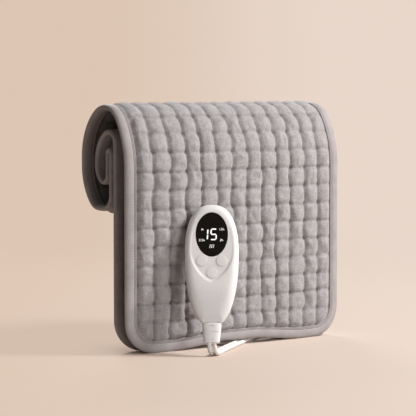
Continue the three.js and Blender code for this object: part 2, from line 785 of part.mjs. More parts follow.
// An egg outline about the controller's widest level, cut off flat at a lower level.
function eggOutline(half, rise, fall, fallPower, low) {
  const tailSteps = 7;
  const capSteps = 16;
  const rounded = (value, power) => value ** (2 / power);
  const first = Math.acos(((BODY_WIDEST - low) / fall) ** (fallPower / 2));
  const right = [];
  for (let k = 0; k < tailSteps; k++) {
    const t = first + ((Math.PI / 2 - first) * k) / tailSteps;
    right.push([half * rounded(Math.sin(t), fallPower), BODY_WIDEST - fall * rounded(Math.cos(t), fallPower)]);
  }
  for (let k = 0; k < capSteps / 2; k++) {
    const t = (Math.PI * k) / capSteps;
    right.push([half * rounded(Math.cos(t), RISE_POWER), BODY_WIDEST + rise * rounded(Math.sin(t), RISE_POWER)]);
  }
  const left = right.map(([x, z]) => [-x, z]).reverse();
  return [...right, [0, BODY_WIDEST + rise], ...left];
}

function bodyOutline(inset, low) {
  const fall = BODY_WIDEST + BODY_TAIL - inset;
  return eggOutline(BODY_WIDTH / 2 - inset, BODY_RISE - inset, fall, FALL_POWER, low);
}

const ringAt = (outline, y) => outline.map(([x, z]) => new THREE.Vector3(x, y, z));

// The dome of a housing half, as shares of its depth and of the draw-in of its outline.
const DOME = [[0, 0], [0.46, 0.06], [0.75, 0.27], [0.92, 0.6], [1, 1]];
const INNER_DRAW = 0.85;

// One half of the housing: a domed shell with an even wall, open at the joint between the halves.
function shellGeometry(depth, inset) {
  const innerDepth = depth - Math.sign(depth) * SHELL_WALL;
  const outer = DOME.map(([deep, draw]) => {
    const outline = bodyOutline(draw * inset, draw * inset * TAIL_SLOPE);
    return ringAt(outline, deep * depth);
  });
  const inner = DOME.map(([deep, draw]) => {
    const low = SHELL_WALL + draw * inset * TAIL_SLOPE;
    const outline = bodyOutline(SHELL_WALL + draw * inset * INNER_DRAW, low);
    return ringAt(outline, deep * innerDepth);
  });
  return loft([...inner.reverse(), ...outer]);
}

const boardBack = BOARD_THICKNESS - BOARD_FRONT;
const displayLevel = BODY_WIDEST + DISPLAY_RAISE;
const upperButtonLevel = BODY_WIDEST - UPPER_BUTTON_DROP;
const lowerButtonLevel = BODY_WIDEST - LOWER_BUTTON_DROP;
const terminalLow = lowerButtonLevel - SWITCH_SIZE / 2 - TERMINAL_GAP - TERMINAL_HEIGHT;
const boardLow = terminalLow - TERMINAL_RAISE;
const boardScrewLevel = BODY_WIDEST - BOARD_SCREW_DROP;
const housingScrewLevel = boardLow - HOUSING_SCREW_DROP;
const faceLevel = FRONT_DEPTH - RECESS_DEPTH;
const faceInner = FRONT_DEPTH - SHELL_WALL;
const backInner = BACK_DEPTH - SHELL_WALL;
const buttons = [
  { name: 'left', x: -UPPER_BUTTON_X, z: upperButtonLevel },
  { name: 'right', x: UPPER_BUTTON_X, z: upperButtonLevel },
  { name: 'lower', x: 0, z: lowerButtonLevel },
];
const boardScrews = [-BOARD_SCREW_X, BOARD_SCREW_X].map((x) => ({ x, z: boardScrewLevel }));
const housingScrews = [-HOUSING_SCREW_X, HOUSING_SCREW_X].map((x) => ({ x, z: housingScrewLevel }));
const pilotDiameter = SCREW_DIAMETER + 2 * FIT;

// An upright oval plate between two depths.
function ovalPlate(width, height, from, to, level) {
  const sides = 40;
  const oval = new THREE.EllipseCurve(0, 0, width / 2, height / 2).getPoints(sides).slice(0, -1);
  const geometry = new THREE.ExtrudeGeometry(new THREE.Shape(oval), { depth: to - from, bevelEnabled: false });
  return geometry.rotateX(Math.PI / 2).translate(0, to, level);
}

const neckOpening = block(RELIEF_NECK_WIDTH + 2 * FIT, RELIEF_NECK_DEPTH + 2 * FIT, 4 * SHELL_WALL, 0, 0, 0);
const cutOver = 4;

// The shallow shield-shaped recess in the face, round the display and the buttons.
function recessCutter() {
  const low = BODY_WIDEST - RECESS_FALL + RECESS_DEPTH;
  const half = BODY_WIDTH / 2 - RECESS_INSET;
  const outline = eggOutline(half, BODY_RISE - RECESS_INSET, RECESS_FALL, RECESS_POWER, low);
  return loft([ringAt(outline, -FRONT_DEPTH - cutOver), ringAt(outline, -faceLevel)]);
}

function rodsAt(places, diameter, from, to, sides) {
  return places.map(({ x, z }) => rod(diameter, from, to, x, z, sides));
}

// The upper shell: the white face with its recess, the window, the button holes and two screw bosses.
function upperShellGeometry() {
  const outside = -FRONT_DEPTH - cutOver;
  const holeSides = 28;
  const shell = solidOf(shellGeometry(-FRONT_DEPTH, FACE_INSET));
  const bosses = rodsAt(housingScrews, BOSS_DIAMETER, -faceInner - SHELL_WALL / 2, -FIT);
  const pilots = rodsAt(housingScrews, pilotDiameter, -faceInner + SHELL_WALL, cutOver);
  const windowWidth = DISPLAY_WIDTH + 2 * FIT;
  const windowHeight = DISPLAY_HEIGHT + 2 * FIT;
  const window = ovalPlate(windowWidth, windowHeight, outside, cutOver - faceInner, displayLevel);
  const holes = rodsAt(buttons, BUTTON_DIAMETER + 2 * FIT, outside, FIT - faceInner, holeSides);
  return geometryOf(cut(joined(shell, ...bosses), ...pilots, recessCutter(), window, ...holes, neckOpening));
}

const screwSeat = BACK_DEPTH - 2 * SCREW_HEAD_HEIGHT;

// The lower shell carries the circuit board on two bosses and takes the housing screws from behind.
function lowerShellGeometry() {
  const outside = BACK_DEPTH + cutOver;
  const bossRoot = backInner + SHELL_WALL / 2;
  const boreDiameter = SCREW_HEAD + 2 * FIT;
  const shell = solidOf(shellGeometry(BACK_DEPTH, BACK_INSET));
  const boardBosses = rodsAt(boardScrews, BOSS_DIAMETER, boardBack + FIT, bossRoot);
  const screwTubes = rodsAt(housingScrews, boreDiameter + 2 * SCREW_TUBE_WALL, FIT, bossRoot);
  const boardPilots = rodsAt(boardScrews, pilotDiameter, -cutOver, backInner - SHELL_WALL / 2);
  const screwHoles = rodsAt(housingScrews, pilotDiameter, -cutOver, outside);
  const counterbores = rodsAt(housingScrews, boreDiameter, screwSeat, outside);
  const solid = joined(shell, ...boardBosses, ...screwTubes);
  return geometryOf(cut(solid, ...boardPilots, ...screwHoles, ...counterbores, neckOpening));
}

// A screw along the controller's y axis, its head on the side given.
function screwGeometry(headFrom, headTo, tip, x, z) {
  const overlap = FIT * Math.sign(headFrom - tip);
  const shankSides = 12;
  const head = solidOf(rod(SCREW_HEAD, headFrom, headTo, x, z));
  return geometryOf(joined(head, rod(SCREW_DIAMETER, headFrom + overlap, tip, x, z, shankSides)));
}

// The circuit board follows the housing's outline, with a clearance hole for each board screw.
function boardGeometry() {
  const outline = bodyOutline(BOARD_INSET, boardLow);
  const plate = solidOf(loft([ringAt(outline, -BOARD_FRONT), ringAt(outline, boardBack)]));
  const holes = boardScrews.map(({ x, z }) => rod(pilotDiameter, -cutOver, cutOver, x, z));
  return geometryOf(cut(plate, ...holes));
}

// A button cap: a low dome with a flange behind the face and a stem down to its switch.
function buttonCapGeometry(x, z) {
  const top = faceLevel + BUTTON_PROUD;
  const flangeTop = faceInner - FIT;
  const radius = BUTTON_DIAMETER / 2;
  const outline = [
    [0, stemEnd],
    [BUTTON_STEM / 2, stemEnd],
    [BUTTON_STEM / 2, flangeTop - BUTTON_FLANGE],
    [radius + BUTTON_FLANGE, flangeTop - BUTTON_FLANGE],
    [radius + BUTTON_FLANGE, flangeTop],
    [radius, flangeTop],
    [radius, top - BUTTON_PROUD],
    [radius - BUTTON_PROUD, top - BUTTON_PROUD / 3],
    [radius / 2, top],
    [0, top],
  ];
  const sides = 16;
  const lathe = new THREE.LatheGeometry(outline.map(([r, h]) => new THREE.Vector2(r, h)), sides);
  return lathe.rotateX(Math.PI).translate(x, 0, z);
}

const switchTop = BOARD_FRONT + FIT + SWITCH_HEIGHT;
const plungerTop = switchTop + BUTTON_TRAVEL + FIT;
const stemEnd = plungerTop + FIT;
const plungerRoot = switchTop - BUTTON_TRAVEL;

function switchBodyGeometry(x, z) {
  const middle = switchTop - SWITCH_HEIGHT / 2;
  const boreFloor = plungerRoot - BUTTON_TRAVEL - FIT;
  const body = solidOf(block(SWITCH_SIZE, SWITCH_HEIGHT, SWITCH_SIZE, x, -middle, z));
  const bore = rod(PLUNGER_DIAMETER + 2 * FIT, -(switchTop + cutOver), -boreFloor, x, z);
  return geometryOf(cut(body, bore));
}

const collarLow = SHELL_WALL + 4 * FIT;

// A soft-cornered ring of points across a z axis.
function softRing(width, depth, z) {
  const count = 20;
  const softness = 0.7;
  return Array.from({ length: count }, (_, k) => {
    const t = (2 * Math.PI * k) / count;
    const soften = (v) => Math.sign(v) * Math.abs(v) ** softness;
    return new THREE.Vector3((width / 2) * soften(Math.cos(t)), (depth / 2) * soften(Math.sin(t)), z);
  });
}

// The strain relief: a tapering grip below the housing, its neck through the wall and its collar inside.
function strainReliefGeometry() {
  const edge = RELIEF_EDGE;
  const grip = loft([
    softRing(RELIEF_TOP_WIDTH - edge, RELIEF_TOP_DEPTH - edge, -FIT),
    softRing(RELIEF_TOP_WIDTH, RELIEF_TOP_DEPTH, -FIT - edge),
    softRing(RELIEF_END_WIDTH, RELIEF_END_DEPTH, edge - RELIEF_LENGTH),
    softRing(RELIEF_END_WIDTH - edge, RELIEF_END_DEPTH - edge, -RELIEF_LENGTH),
  ]);
  const neck = block(RELIEF_NECK_WIDTH, RELIEF_NECK_DEPTH, collarLow + 2 * edge, 0, 0, collarLow / 2);
  const collarWidth = RELIEF_NECK_WIDTH + 2 * RELIEF_COLLAR_LIP;
  const collar = block(collarWidth, RELIEF_NECK_DEPTH, RELIEF_COLLAR, 0, 0, collarLow + RELIEF_COLLAR / 2);
  const slotWidth = RELIEF_END_WIDTH * RELIEF_SLOT_REACH;
  const slots = [-1, 1].flatMap((face) => RELIEF_SLOTS.map((share) => {
    const y = (face * RELIEF_TOP_DEPTH) / 2;
    return block(slotWidth, 2 * RELIEF_SLOT_DEPTH, RELIEF_SLOT_HEIGHT, 0, y, -share * RELIEF_LENGTH);
  }));
  return geometryOf(cut(joined(solidOf(grip), neck, collar), ...slots));
}

// A tube along a smooth curve through points, for a lead that isn't coiled.
function leadGeometry(points, diameter, steps, sides = 8) {
  const round = new THREE.EllipseCurve(0, 0, diameter / 2, diameter / 2).getPoints(sides).slice(0, -1);
  const extrudePath = new THREE.CatmullRomCurve3(points, false, 'centripetal');
  return new THREE.ExtrudeGeometry(new THREE.Shape(round), { steps, extrudePath, bevelEnabled: false });
}

const moduleFront = faceLevel - LENS_THICKNESS - FIT;
const moduleBack = BOARD_FRONT + FIT;
const behindBoard = boardBack + FIT;
const terminalMiddle = BOARD_FRONT + FIT + TERMINAL_DEPTH / 2;
const lens = ovalPlate(DISPLAY_WIDTH, DISPLAY_HEIGHT, -faceLevel, LENS_THICKNESS - faceLevel, displayLevel);
const moduleDepth = moduleFront - moduleBack;
const moduleY = -(moduleFront + moduleBack) / 2;

put(controller, 'upper_shell', upperShellGeometry(), whiteShell);
put(controller, 'lower_shell', lowerShellGeometry(), whiteShell);
put(controller, 'display_lens', lens, blackGlass);
const ledModule = block(MODULE_WIDTH, moduleDepth, MODULE_HEIGHT, 0, moduleY, displayLevel);
put(controller, 'led_display', ledModule, displayBlock);
put(controller, 'circuit_board', boardGeometry(), boardGreen);
put(controller, 'strain_relief', strainReliefGeometry(), whiteShell);
for (const { name, x, z } of buttons) {
  put(controller, `${name}_button`, buttonCapGeometry(x, z), whiteShell);
  put(controller, `${name}_switch_plunger`, rod(PLUNGER_DIAMETER, -plungerTop, -plungerRoot, x, z), steel);
  put(controller, `${name}_switch`, switchBodyGeometry(x, z), switchBlack);
}
boardScrews.forEach(({ x, z }, k) => {
  const under = -BOARD_FRONT - FIT;
  const tip = backInner - SHELL_WALL;
  put(controller, `board_screw_${k + 1}`, screwGeometry(under, under - SCREW_HEAD_HEIGHT, tip, x, z), steel);
});
housingScrews.forEach(({ x, z }, k) => {
  const under = screwSeat + FIT;
  const tip = -faceInner + 2 * SHELL_WALL;
  const screw = screwGeometry(under, under + SCREW_HEAD_HEIGHT, tip, x, z);
  put(controller, `housing_screw_${k + 1}`, screw, steel);
});
const terminalZ = terminalLow + TERMINAL_HEIGHT / 2;
const capacitorY = behindBoard + CAPACITOR_DEPTH / 2;
const triacY = behindBoard + TRIAC_DEPTH / 2;
const terminal = block(TERMINAL_WIDTH, TERMINAL_DEPTH, TERMINAL_HEIGHT, 0, -terminalMiddle, terminalZ);
const capacitor = block(CAPACITOR_WIDTH, CAPACITOR_DEPTH, CAPACITOR_HEIGHT, 0, capacitorY, displayLevel);
const triac = block(TRIAC_WIDTH, TRIAC_DEPTH, TRIAC_HEIGHT, TRIAC_X, triacY, upperButtonLevel);
const fuse = rod(FUSE_DIAMETER, -FUSE_LENGTH / 2, FUSE_LENGTH / 2, 0, 0).rotateZ(Math.PI / 2);
fuse.translate(FUSE_X, behindBoard + FUSE_DIAMETER / 2, upperButtonLevel - FUSE_DROP);
put(controller, 'terminal_block', terminal, switchBlack);
put(controller, 'dropper_capacitor', capacitor, componentTan);
put(controller, 'triac', triac, switchBlack);
put(controller, 'fuse', fuse, componentTan);

// Each lead's inner end rises from the relief's collar to the terminal block.
[['mains', -1], ['pad', 1]].forEach(([name, side]) => {
  const collarTop = collarLow + RELIEF_COLLAR + FIT;
  const lowBend = boardLow - INNER_LEAD_DROP;
  const route = [
    [0, collarTop],
    [0, collarTop + INNER_LEAD_STRAIGHT],
    [-terminalMiddle * INNER_LEAD_SWING, lowBend],
    [-terminalMiddle, (lowBend + terminalLow) / 2],
    [-terminalMiddle, terminalLow - FIT],
  ].map(([y, z]) => new THREE.Vector3((side * INNER_LEAD_SPACING) / 2, y, z));
  const steps = 8;
  const sides = 6;
  put(controller, `${name}_inner_lead`, leadGeometry(route, INNER_LEAD_DIAMETER, steps, sides), cordWhite);
});

// The controller stands on its leads, turned to the side and leaning back on the pad.
controller.rotation.set(-radians(CONTROLLER_LEAN), 0, -radians(CONTROLLER_TURN), 'ZYX');
controller.updateMatrix();
const reliefEnd = new THREE.Vector3(RELIEF_END_X, RELIEF_END_Y, RELIEF_END_Z);
const endOffset = new THREE.Vector3(0, 0, -RELIEF_LENGTH).applyMatrix4(controller.matrix);
controller.position.copy(reliefEnd).sub(endOffset);
controller.updateMatrix();

// The leads leave the strain relief side by side, bend down onto the floor and run under the pad.
const down = new THREE.Vector3(0, 0, -1).transformDirection(controller.matrix);
const onFloor = CORD_DIAMETER / 2 + FIT;
const coilLow = COIL_FLOOR_GAP + CORD_DIAMETER / 2;
const coilHigh = coilLow + COIL_PITCH;
const exitOf = (side) => {
  const local = new THREE.Vector3((side * CORD_SPACING) / 2, 0, -RELIEF_LENGTH - FIT);
  return local.applyMatrix4(controller.matrix);
};
const underFront = new THREE.Vector3(ARCH_FRONT_X, 0, 0);
const laneHeading = new THREE.Vector3().subVectors(underFront, exitOf(0)).setZ(0).normalize();
const laneRight = new THREE.Vector3(laneHeading.y, -laneHeading.x, 0);
const lanePoint = (side, ahead, z) => {
  const place = underFront.clone().addScaledVector(laneHeading, ahead);
  return place.addScaledVector(laneRight, (side * LANE_SPACING) / 2).setZ(z);
};
const rearAhead = rearPanelY / laneHeading.y;

// The bend from a strain relief's exit down to the floor, as points on one arc.
function exitBend(side) {
  const exit = exitOf(side);
  const from = exit.clone().addScaledVector(down, 2 * FIT);
  const angle = down.angleTo(laneHeading);
  const inward = laneHeading.clone().addScaledVector(down, -laneHeading.dot(down)).normalize();
  const arc = [0, 0.25, 0.5, 0.75, 1].map((share) => {
    const turn = angle * share;
    const point = from.clone().addScaledVector(down, CORD_BEND * Math.sin(turn));
    return point.addScaledVector(inward, CORD_BEND * (1 - Math.cos(turn)));
  });
  return [exit, ...arc];
}

// The way of a lead from the controller, under both panels, to behind the rear one.
function laneRoute(side) {
  const span = underFront.distanceTo(exitOf(side));
  const stops = [-LANE_MIDWAY * span, -LANE_STRAIGHT, rearAhead / 2, rearAhead];
  return [...exitBend(side), ...stops.map((ahead) => lanePoint(side, ahead, onFloor))];
}

// A two-layer coil: it winds inwards on the floor, climbs in the middle and winds outwards on top.
function coilPoint(centre, radius, turns, start, t) {
  const angle = start + t * 2 * Math.PI;
  const r = radius - COIL_PITCH * Math.min(t, turns - t);
  const climb = THREE.MathUtils.smoothstep(t, turns / 2 - COIL_CLIMB, turns / 2 + COIL_CLIMB);
  const z = coilLow + COIL_PITCH * climb;
  return new THREE.Vector3(centre.x + r * Math.cos(angle), centre.y + r * Math.sin(angle), z);
}

// A six-sided tube along given points, its sections square to the way from point to point.
function coilGeometry(points) {
  const up = new THREE.Vector3(0, 0, 1);
  const rings = points.map((point, k) => {
    const before = points[Math.max(k - 1, 0)];
    const after = points[Math.min(k + 1, points.length - 1)];
    const along = new THREE.Vector3().subVectors(after, before).normalize();
    const across = new THREE.Vector3().crossVectors(along, up).normalize();
    const over = new THREE.Vector3().crossVectors(across, along);
    return Array.from({ length: 6 }, (_, m) => {
      const turn = (Math.PI / 3) * m;
      const offset = across.clone().multiplyScalar(Math.cos(turn)).addScaledVector(over, Math.sin(turn));
      return point.clone().addScaledVector(offset, CORD_DIAMETER / 2);
    });
  });
  return loft(rings);
}

// The least gap between a coil's strands, measured on close points at least half a turn apart.
function leastStrandGap(pointAt, turns) {
  const perTurn = 4 * COIL_STEPS;
  const count = Math.floor(turns * perTurn);
  const points = Array.from({ length: count + 1 }, (_, k) => pointAt(k / perTurn));
  let least = Infinity;
  for (let i = 0; i < points.length; i++) {
    for (let j = i + perTurn / 2; j < points.length; j++) {
      least = Math.min(least, points[i].distanceTo(points[j]));
    }
  }
  return least - CORD_DIAMETER;
}

// A coil with a straight end at each side, and where its leads go on from there.
function coilOf(name, centre, radius, loops, start) {
  const turns = loops + THREE.MathUtils.euclideanModulo(Math.PI - start, 2 * Math.PI) / (2 * Math.PI);
  const steps = Math.round(turns * COIL_STEPS);
  const pointAt = (t) => coilPoint(centre, radius, turns, start, t);
  const winding = Array.from({ length: steps + 1 }, (_, k) => pointAt((turns * k) / steps));
  console.log(`${name}: least gap to itself ${leastStrandGap(pointAt, turns).toFixed(2)} mm`);
  const into = new THREE.Vector3(-Math.sin(start), Math.cos(start), 0);
  const away = new THREE.Vector3(0, -1, 0);
  const head = winding[0].clone().addScaledVector(into, -CORD_DIAMETER);
  const tail = winding.at(-1).clone().addScaledVector(away, CORD_DIAMETER);
  const points = [head, ...winding, tail];
  return {
    turns,
    geometry: coilGeometry(points),
    inlet: head.clone().addScaledVector(into, -FIT),
    outlet: tail.clone().addScaledVector(away, FIT),
    into,
  };
}

// A flat strap round one side of a coil.
function tieGeometry(centre, radius, turns, degrees) {
  const angle = radians(degrees);
  const least = radius - (COIL_PITCH * turns) / 2;
  const sag = least - Math.sqrt(least ** 2 - (TIE_WIDTH / 2) ** 2);
  const near = least - CORD_DIAMETER / 2 - sag - 2 * FIT;
  const far = radius + CORD_DIAMETER / 2 + 2 * FIT;
  const low = COIL_FLOOR_GAP - FIT;
  const high = coilHigh + CORD_DIAMETER / 2 + FIT;
  const length = far - near;
  const height = high - low;
  const band = (wall, width) => {
    return block(length + 2 * wall, width, height + 2 * wall, (far + near) / 2, 0, (high + low) / 2);
  };
  const strap = geometryOf(cut(solidOf(band(TIE_WALL, TIE_WIDTH)), band(0, 2 * TIE_WIDTH)));
  return strap.rotateZ(angle).translate(centre.x, centre.y, 0);
}

// The mains lead: from the controller under both panels into its coil, then to the plug.
const mainsStart = Math.atan2(laneRight.y, laneRight.x);
const mainsInlet = lanePoint(-1, rearAhead + MAINS_COIL_AHEAD, coilLow);
const mainsCentre = mainsInlet.clone().addScaledVector(laneRight, -MAINS_COIL_RADIUS);
const mainsCoil = coilOf('mains_lead_coil', mainsCentre, MAINS_COIL_RADIUS, MAINS_COIL_LOOPS, mainsStart);
const mainsRoute = [
  ...laneRoute(-1),
  mainsCoil.inlet.clone().addScaledVector(mainsCoil.into, -CORD_DIAMETER),
  mainsCoil.inlet,
];
const mainsTie = tieGeometry(mainsCentre, MAINS_COIL_RADIUS, mainsCoil.turns, MAINS_TIE_ANGLE);
const mainsRunSteps = 36;
put(cordNodes, 'mains_lead_run', leadGeometry(mainsRoute, CORD_DIAMETER, mainsRunSteps), cordWhite);
put(cordNodes, 'mains_lead_coil', mainsCoil.geometry, cordWhite);
put(cordNodes, 'mains_coil_tie', mainsTie, tieGrey);

// The mains lead's tail bends over to the plug, which lies flat on the floor behind the pad.
const plugAxis = PLUG_HEIGHT / 2;
const tailPoint = (turn) => new THREE.Vector3(
  mainsCoil.outlet.x - TAIL_BEND * (1 - Math.cos(turn)),
  mainsCoil.outlet.y - TAIL_STRAIGHT - TAIL_BEND * Math.sin(turn),
  THREE.MathUtils.lerp(coilHigh, plugAxis, turn / (Math.PI / 2)),
);
const tailRoute = [0, 0.25, 0.5, 0.75, 1].map((share) => tailPoint((share * Math.PI) / 2));
const plugEntry = tailRoute.at(-1).clone().add(new THREE.Vector3(-CORD_DIAMETER, 0, 0));
const tailSteps = 12;
const tailPath = [mainsCoil.outlet, ...tailRoute, plugEntry];
put(cordNodes, 'mains_lead_tail', leadGeometry(tailPath, CORD_DIAMETER, tailSteps), cordWhite);

// The plug body points along -X, with a tapering relief, and its two flat blades seat in it.
const plugStart = plugEntry.x - FIT;
const bladeFace = PLUG_RELIEF + PLUG_LENGTH;
const alongPlug = (geometry) => geometry.rotateY(-Math.PI / 2).translate(plugStart, plugEntry.y, plugAxis);
const bladeBlock = (play, from, to) => block(
  BLADE_HEIGHT + 2 * play, BLADE_THICKNESS + 2 * play, to - from, 0, 0, (from + to) / 2,
);
const bladeSides = [['left', -1], ['right', 1]];
const plugBody = loft([
  softRing(PLUG_NECK, PLUG_NECK, 0),
  softRing(PLUG_NECK + PLUG_EDGE, PLUG_NECK + PLUG_EDGE, PLUG_RELIEF),
  softRing(PLUG_HEIGHT - PLUG_EDGE / 2, PLUG_WIDTH - 2 * PLUG_EDGE, PLUG_RELIEF + PLUG_SHOULDER / 2),
  softRing(PLUG_HEIGHT, PLUG_WIDTH, PLUG_RELIEF + PLUG_SHOULDER),
  softRing(PLUG_HEIGHT, PLUG_WIDTH, bladeFace - PLUG_EDGE),
  softRing(PLUG_HEIGHT - PLUG_EDGE, PLUG_WIDTH - PLUG_EDGE, bladeFace),
]);
const bladeSlots = bladeSides.map(([, side]) => {
  const slot = bladeBlock(FIT, bladeFace - BLADE_ROOT - FIT, bladeFace + cutOver);
  return slot.translate(0, (side * BLADE_SPACING) / 2, 0);
});
put(cordNodes, 'plug_body', alongPlug(geometryOf(cut(solidOf(plugBody), ...bladeSlots))), cordWhite);
for (const [name, side] of bladeSides) {
  const blade = bladeBlock(0, bladeFace - BLADE_ROOT, bladeFace + BLADE_LENGTH);
  put(cordNodes, `plug_blade_${name}`, alongPlug(blade.translate(0, (side * BLADE_SPACING) / 2, 0)), brass);
}

// The pad lead: beside the mains lead under both panels, then into its own coil and the pad's cord gland.
const turnStart = lanePoint(1, rearAhead + PAD_LEAD_AHEAD, onFloor);
const laneAngle = Math.atan2(laneHeading.y, laneHeading.x);
const turnPoint = (share) => {
  const angle = laneAngle * (1 - share);
  const place = turnStart.clone();
  place.x += PAD_LEAD_BEND * (Math.sin(laneAngle) - Math.sin(angle));
  place.y += PAD_LEAD_BEND * (Math.cos(angle) - Math.cos(laneAngle));
  return place;
};
const padLaneY = turnPoint(1).y;
const padCentre = new THREE.Vector3(GLAND_X + PAD_COIL_RADIUS, padLaneY + PAD_COIL_RADIUS, 0);
const padStart = -Math.PI / 2;
const padCoil = coilOf('pad_lead_coil', padCentre, PAD_COIL_RADIUS, PAD_COIL_LOOPS, padStart);
const padRoute = [
  ...laneRoute(1),
  turnPoint(0),
  turnPoint(0.5),
  turnPoint(1),
  new THREE.Vector3(GLAND_X + CORD_DIAMETER, padLaneY, onFloor),
  padCoil.inlet.clone().addScaledVector(padCoil.into, -CORD_DIAMETER),
  padCoil.inlet,
];
const padTie = tieGeometry(padCentre, PAD_COIL_RADIUS, padCoil.turns, PAD_TIE_ANGLE);
const padRunSteps = 42;
put(cordNodes, 'pad_lead_run', leadGeometry(padRoute, CORD_DIAMETER, padRunSteps), cordWhite);
put(cordNodes, 'pad_lead_coil', padCoil.geometry, cordWhite);
put(cordNodes, 'pad_coil_tie', padTie, tieGrey);

// The cord gland: a plate sewn to the rear panel's tape, with a round boot that the pad lead ends in.
const glandFace = rearPanelY + tapeLevel + FIT + edgeBow(GLAND_X + GLAND_WIDTH / 2);
const bootEnd = glandFace + GLAND_PLATE + GLAND_BOOT;
const plateY = glandFace + GLAND_PLATE / 2;
const glandPlate = block(GLAND_WIDTH, GLAND_PLATE, GLAND_HEIGHT, GLAND_X, plateY, coilHigh);
const glandBoot = rod(GLAND_DIAMETER, plateY, bootEnd, GLAND_X, coilHigh);
put(pad, 'pad_cord_gland', geometryOf(joined(solidOf(glandPlate), glandBoot)), cordWhite);
const padTail = [
  padCoil.outlet,
  new THREE.Vector3(GLAND_X, (padCoil.outlet.y + bootEnd + FIT) / 2, coilHigh),
  new THREE.Vector3(GLAND_X, bootEnd + FIT, coilHigh),
];
const padTailSteps = 3;
put(cordNodes, 'pad_lead_tail', leadGeometry(padTail, CORD_DIAMETER, padTailSteps), cordWhite);

// The frame's origin is on the floor, under the middle of the pad and its controller.
const box = new THREE.Box3();
for (const group of [pad, controller]) box.union(new THREE.Box3().setFromObject(group, true));
const middle = box.getCenter(new THREE.Vector3());
assembly.children.forEach((group) => group.position.sub(new THREE.Vector3(middle.x, middle.y, box.min.z)));

export default assembly;
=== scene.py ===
import math
import bpy
import numpy as np
from mathutils import Matrix, Vector


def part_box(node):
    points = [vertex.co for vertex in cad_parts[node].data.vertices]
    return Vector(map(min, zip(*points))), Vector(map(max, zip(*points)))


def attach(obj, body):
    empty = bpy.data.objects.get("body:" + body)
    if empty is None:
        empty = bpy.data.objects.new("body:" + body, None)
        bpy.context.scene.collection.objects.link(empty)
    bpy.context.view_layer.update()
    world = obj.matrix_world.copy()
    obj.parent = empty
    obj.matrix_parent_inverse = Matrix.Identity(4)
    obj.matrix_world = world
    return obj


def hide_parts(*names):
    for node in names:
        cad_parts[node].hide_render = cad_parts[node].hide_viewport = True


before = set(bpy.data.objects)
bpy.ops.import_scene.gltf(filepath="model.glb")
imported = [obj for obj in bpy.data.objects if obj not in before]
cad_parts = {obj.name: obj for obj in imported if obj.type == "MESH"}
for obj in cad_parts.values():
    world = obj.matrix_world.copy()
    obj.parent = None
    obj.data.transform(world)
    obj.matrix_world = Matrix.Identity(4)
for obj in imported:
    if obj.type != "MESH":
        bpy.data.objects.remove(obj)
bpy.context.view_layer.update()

# The studio: a sheet of pale warm card that is floor and backdrop in one, swept up behind the pad.
# A soft lamp stands to the upper right, a weaker one fills from the front, a third lights the back, and
# the room glows faintly all round. The camera has a long lens, low and to the pad's left.
MM = 0.001
TAPE_LEVEL = 2.775
PAD_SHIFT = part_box("edge_binding")[0].y / MM + TAPE_LEVEL
VIEW_TURN = math.radians(35)
VIEW_DIP = 0.0709
CAMERA_PLACE = Vector((-1206.9, -1663.1 + PAD_SHIFT, 303.5))
SENSOR_WIDTH = 36
LENS_PIXELS = 1801.2
FRAME_PIXELS = 416
CARD_BOUNCE = 0.55
CARD_GLOW = 0.8
CARD_SIDES = (-0.3, 0.3)
CARD_DEPTHS = (0.2, 1.3)
CONTACT_REACH = 0.09
CONTACT_FADE = (0.35, 1.0)
SWEEP_NEAR = -4.0
SWEEP_FAR = 1.6
SWEEP_RADIUS = 1.4
SWEEP_TOP = 3.0
SWEEP_HALF = 5.0
SWEEP_STEPS = 24
LAMP_TINT = (1.0, 0.975, 0.955)
FILL_TINT = (1.0, 0.98, 0.965)
ROOM_TINT = (1.0, 0.97, 0.95, 1.0)
ROOM_LIGHT = 0.08


def linear(red, green, blue):
    """A display colour from 0 to 255 as the renderer's linear colour."""
    shares = (red / 255, green / 255, blue / 255)
    return tuple(c / 12.92 if c <= 0.04045 else ((c + 0.055) / 1.055) ** 2.4 for c in shares)


class Field:
    """A value or colour over a surface, as one socket of a material's nodes."""

    def __init__(self, socket):
        self.socket = socket
        self.tree = socket.id_data

    def node(self, kind, settings, sockets, out=0):
        made = self.tree.nodes.new(kind)
        for name, value in settings.items():
            setattr(made, name, value)
        for name, value in sockets.items():
            if isinstance(value, Field):
                self.tree.links.new(value.socket, made.inputs[name])
            else:
                made.inputs[name].default_value = value
        return Field(made.outputs[out])

    def maths(self, operation, first, second):
        return self.node("ShaderNodeMath", {"operation": operation}, {0: first, 1: second})

    def __add__(self, other):
        return self.maths("ADD", self, other)

    def __radd__(self, other):
        return self.maths("ADD", other, self)

    def __rsub__(self, other):
        return self.maths("SUBTRACT", other, self)

    def __mul__(self, other):
        return self.maths("MULTIPLY", self, other)

    def __rmul__(self, other):
        return self.maths("MULTIPLY", other, self)

    def noise(self, scale, detail=2.0, rough=0.5):
        sockets = {"Vector": self, "Scale": scale, "Detail": detail, "Roughness": rough}
        return self.node("ShaderNodeTexNoise", {}, sockets)

    def between(self, low, high):
        sockets = {"Value": self, "From Min": low, "From Max": high}
        return self.node("ShaderNodeMapRange", {"interpolation_type": "SMOOTHSTEP"}, sockets)

    def tint(self, low, high):
        sockets = {0: self, 6: (*linear(*low), 1.0), 7: (*linear(*high), 1.0)}
        return self.node("ShaderNodeMix", {"data_type": "RGBA"}, sockets, out=2)

    def shade(self, colour):
        grey = self.node("ShaderNodeCombineColor", {}, {0: self, 1: self, 2: self})
        settings = {"data_type": "RGBA", "blend_type": "MULTIPLY"}
        return self.node("ShaderNodeMix", settings, {0: 1.0, 6: colour, 7: grey}, out=2)


def shader_of(finish):
    return finish.node_tree.nodes["Principled BSDF"]


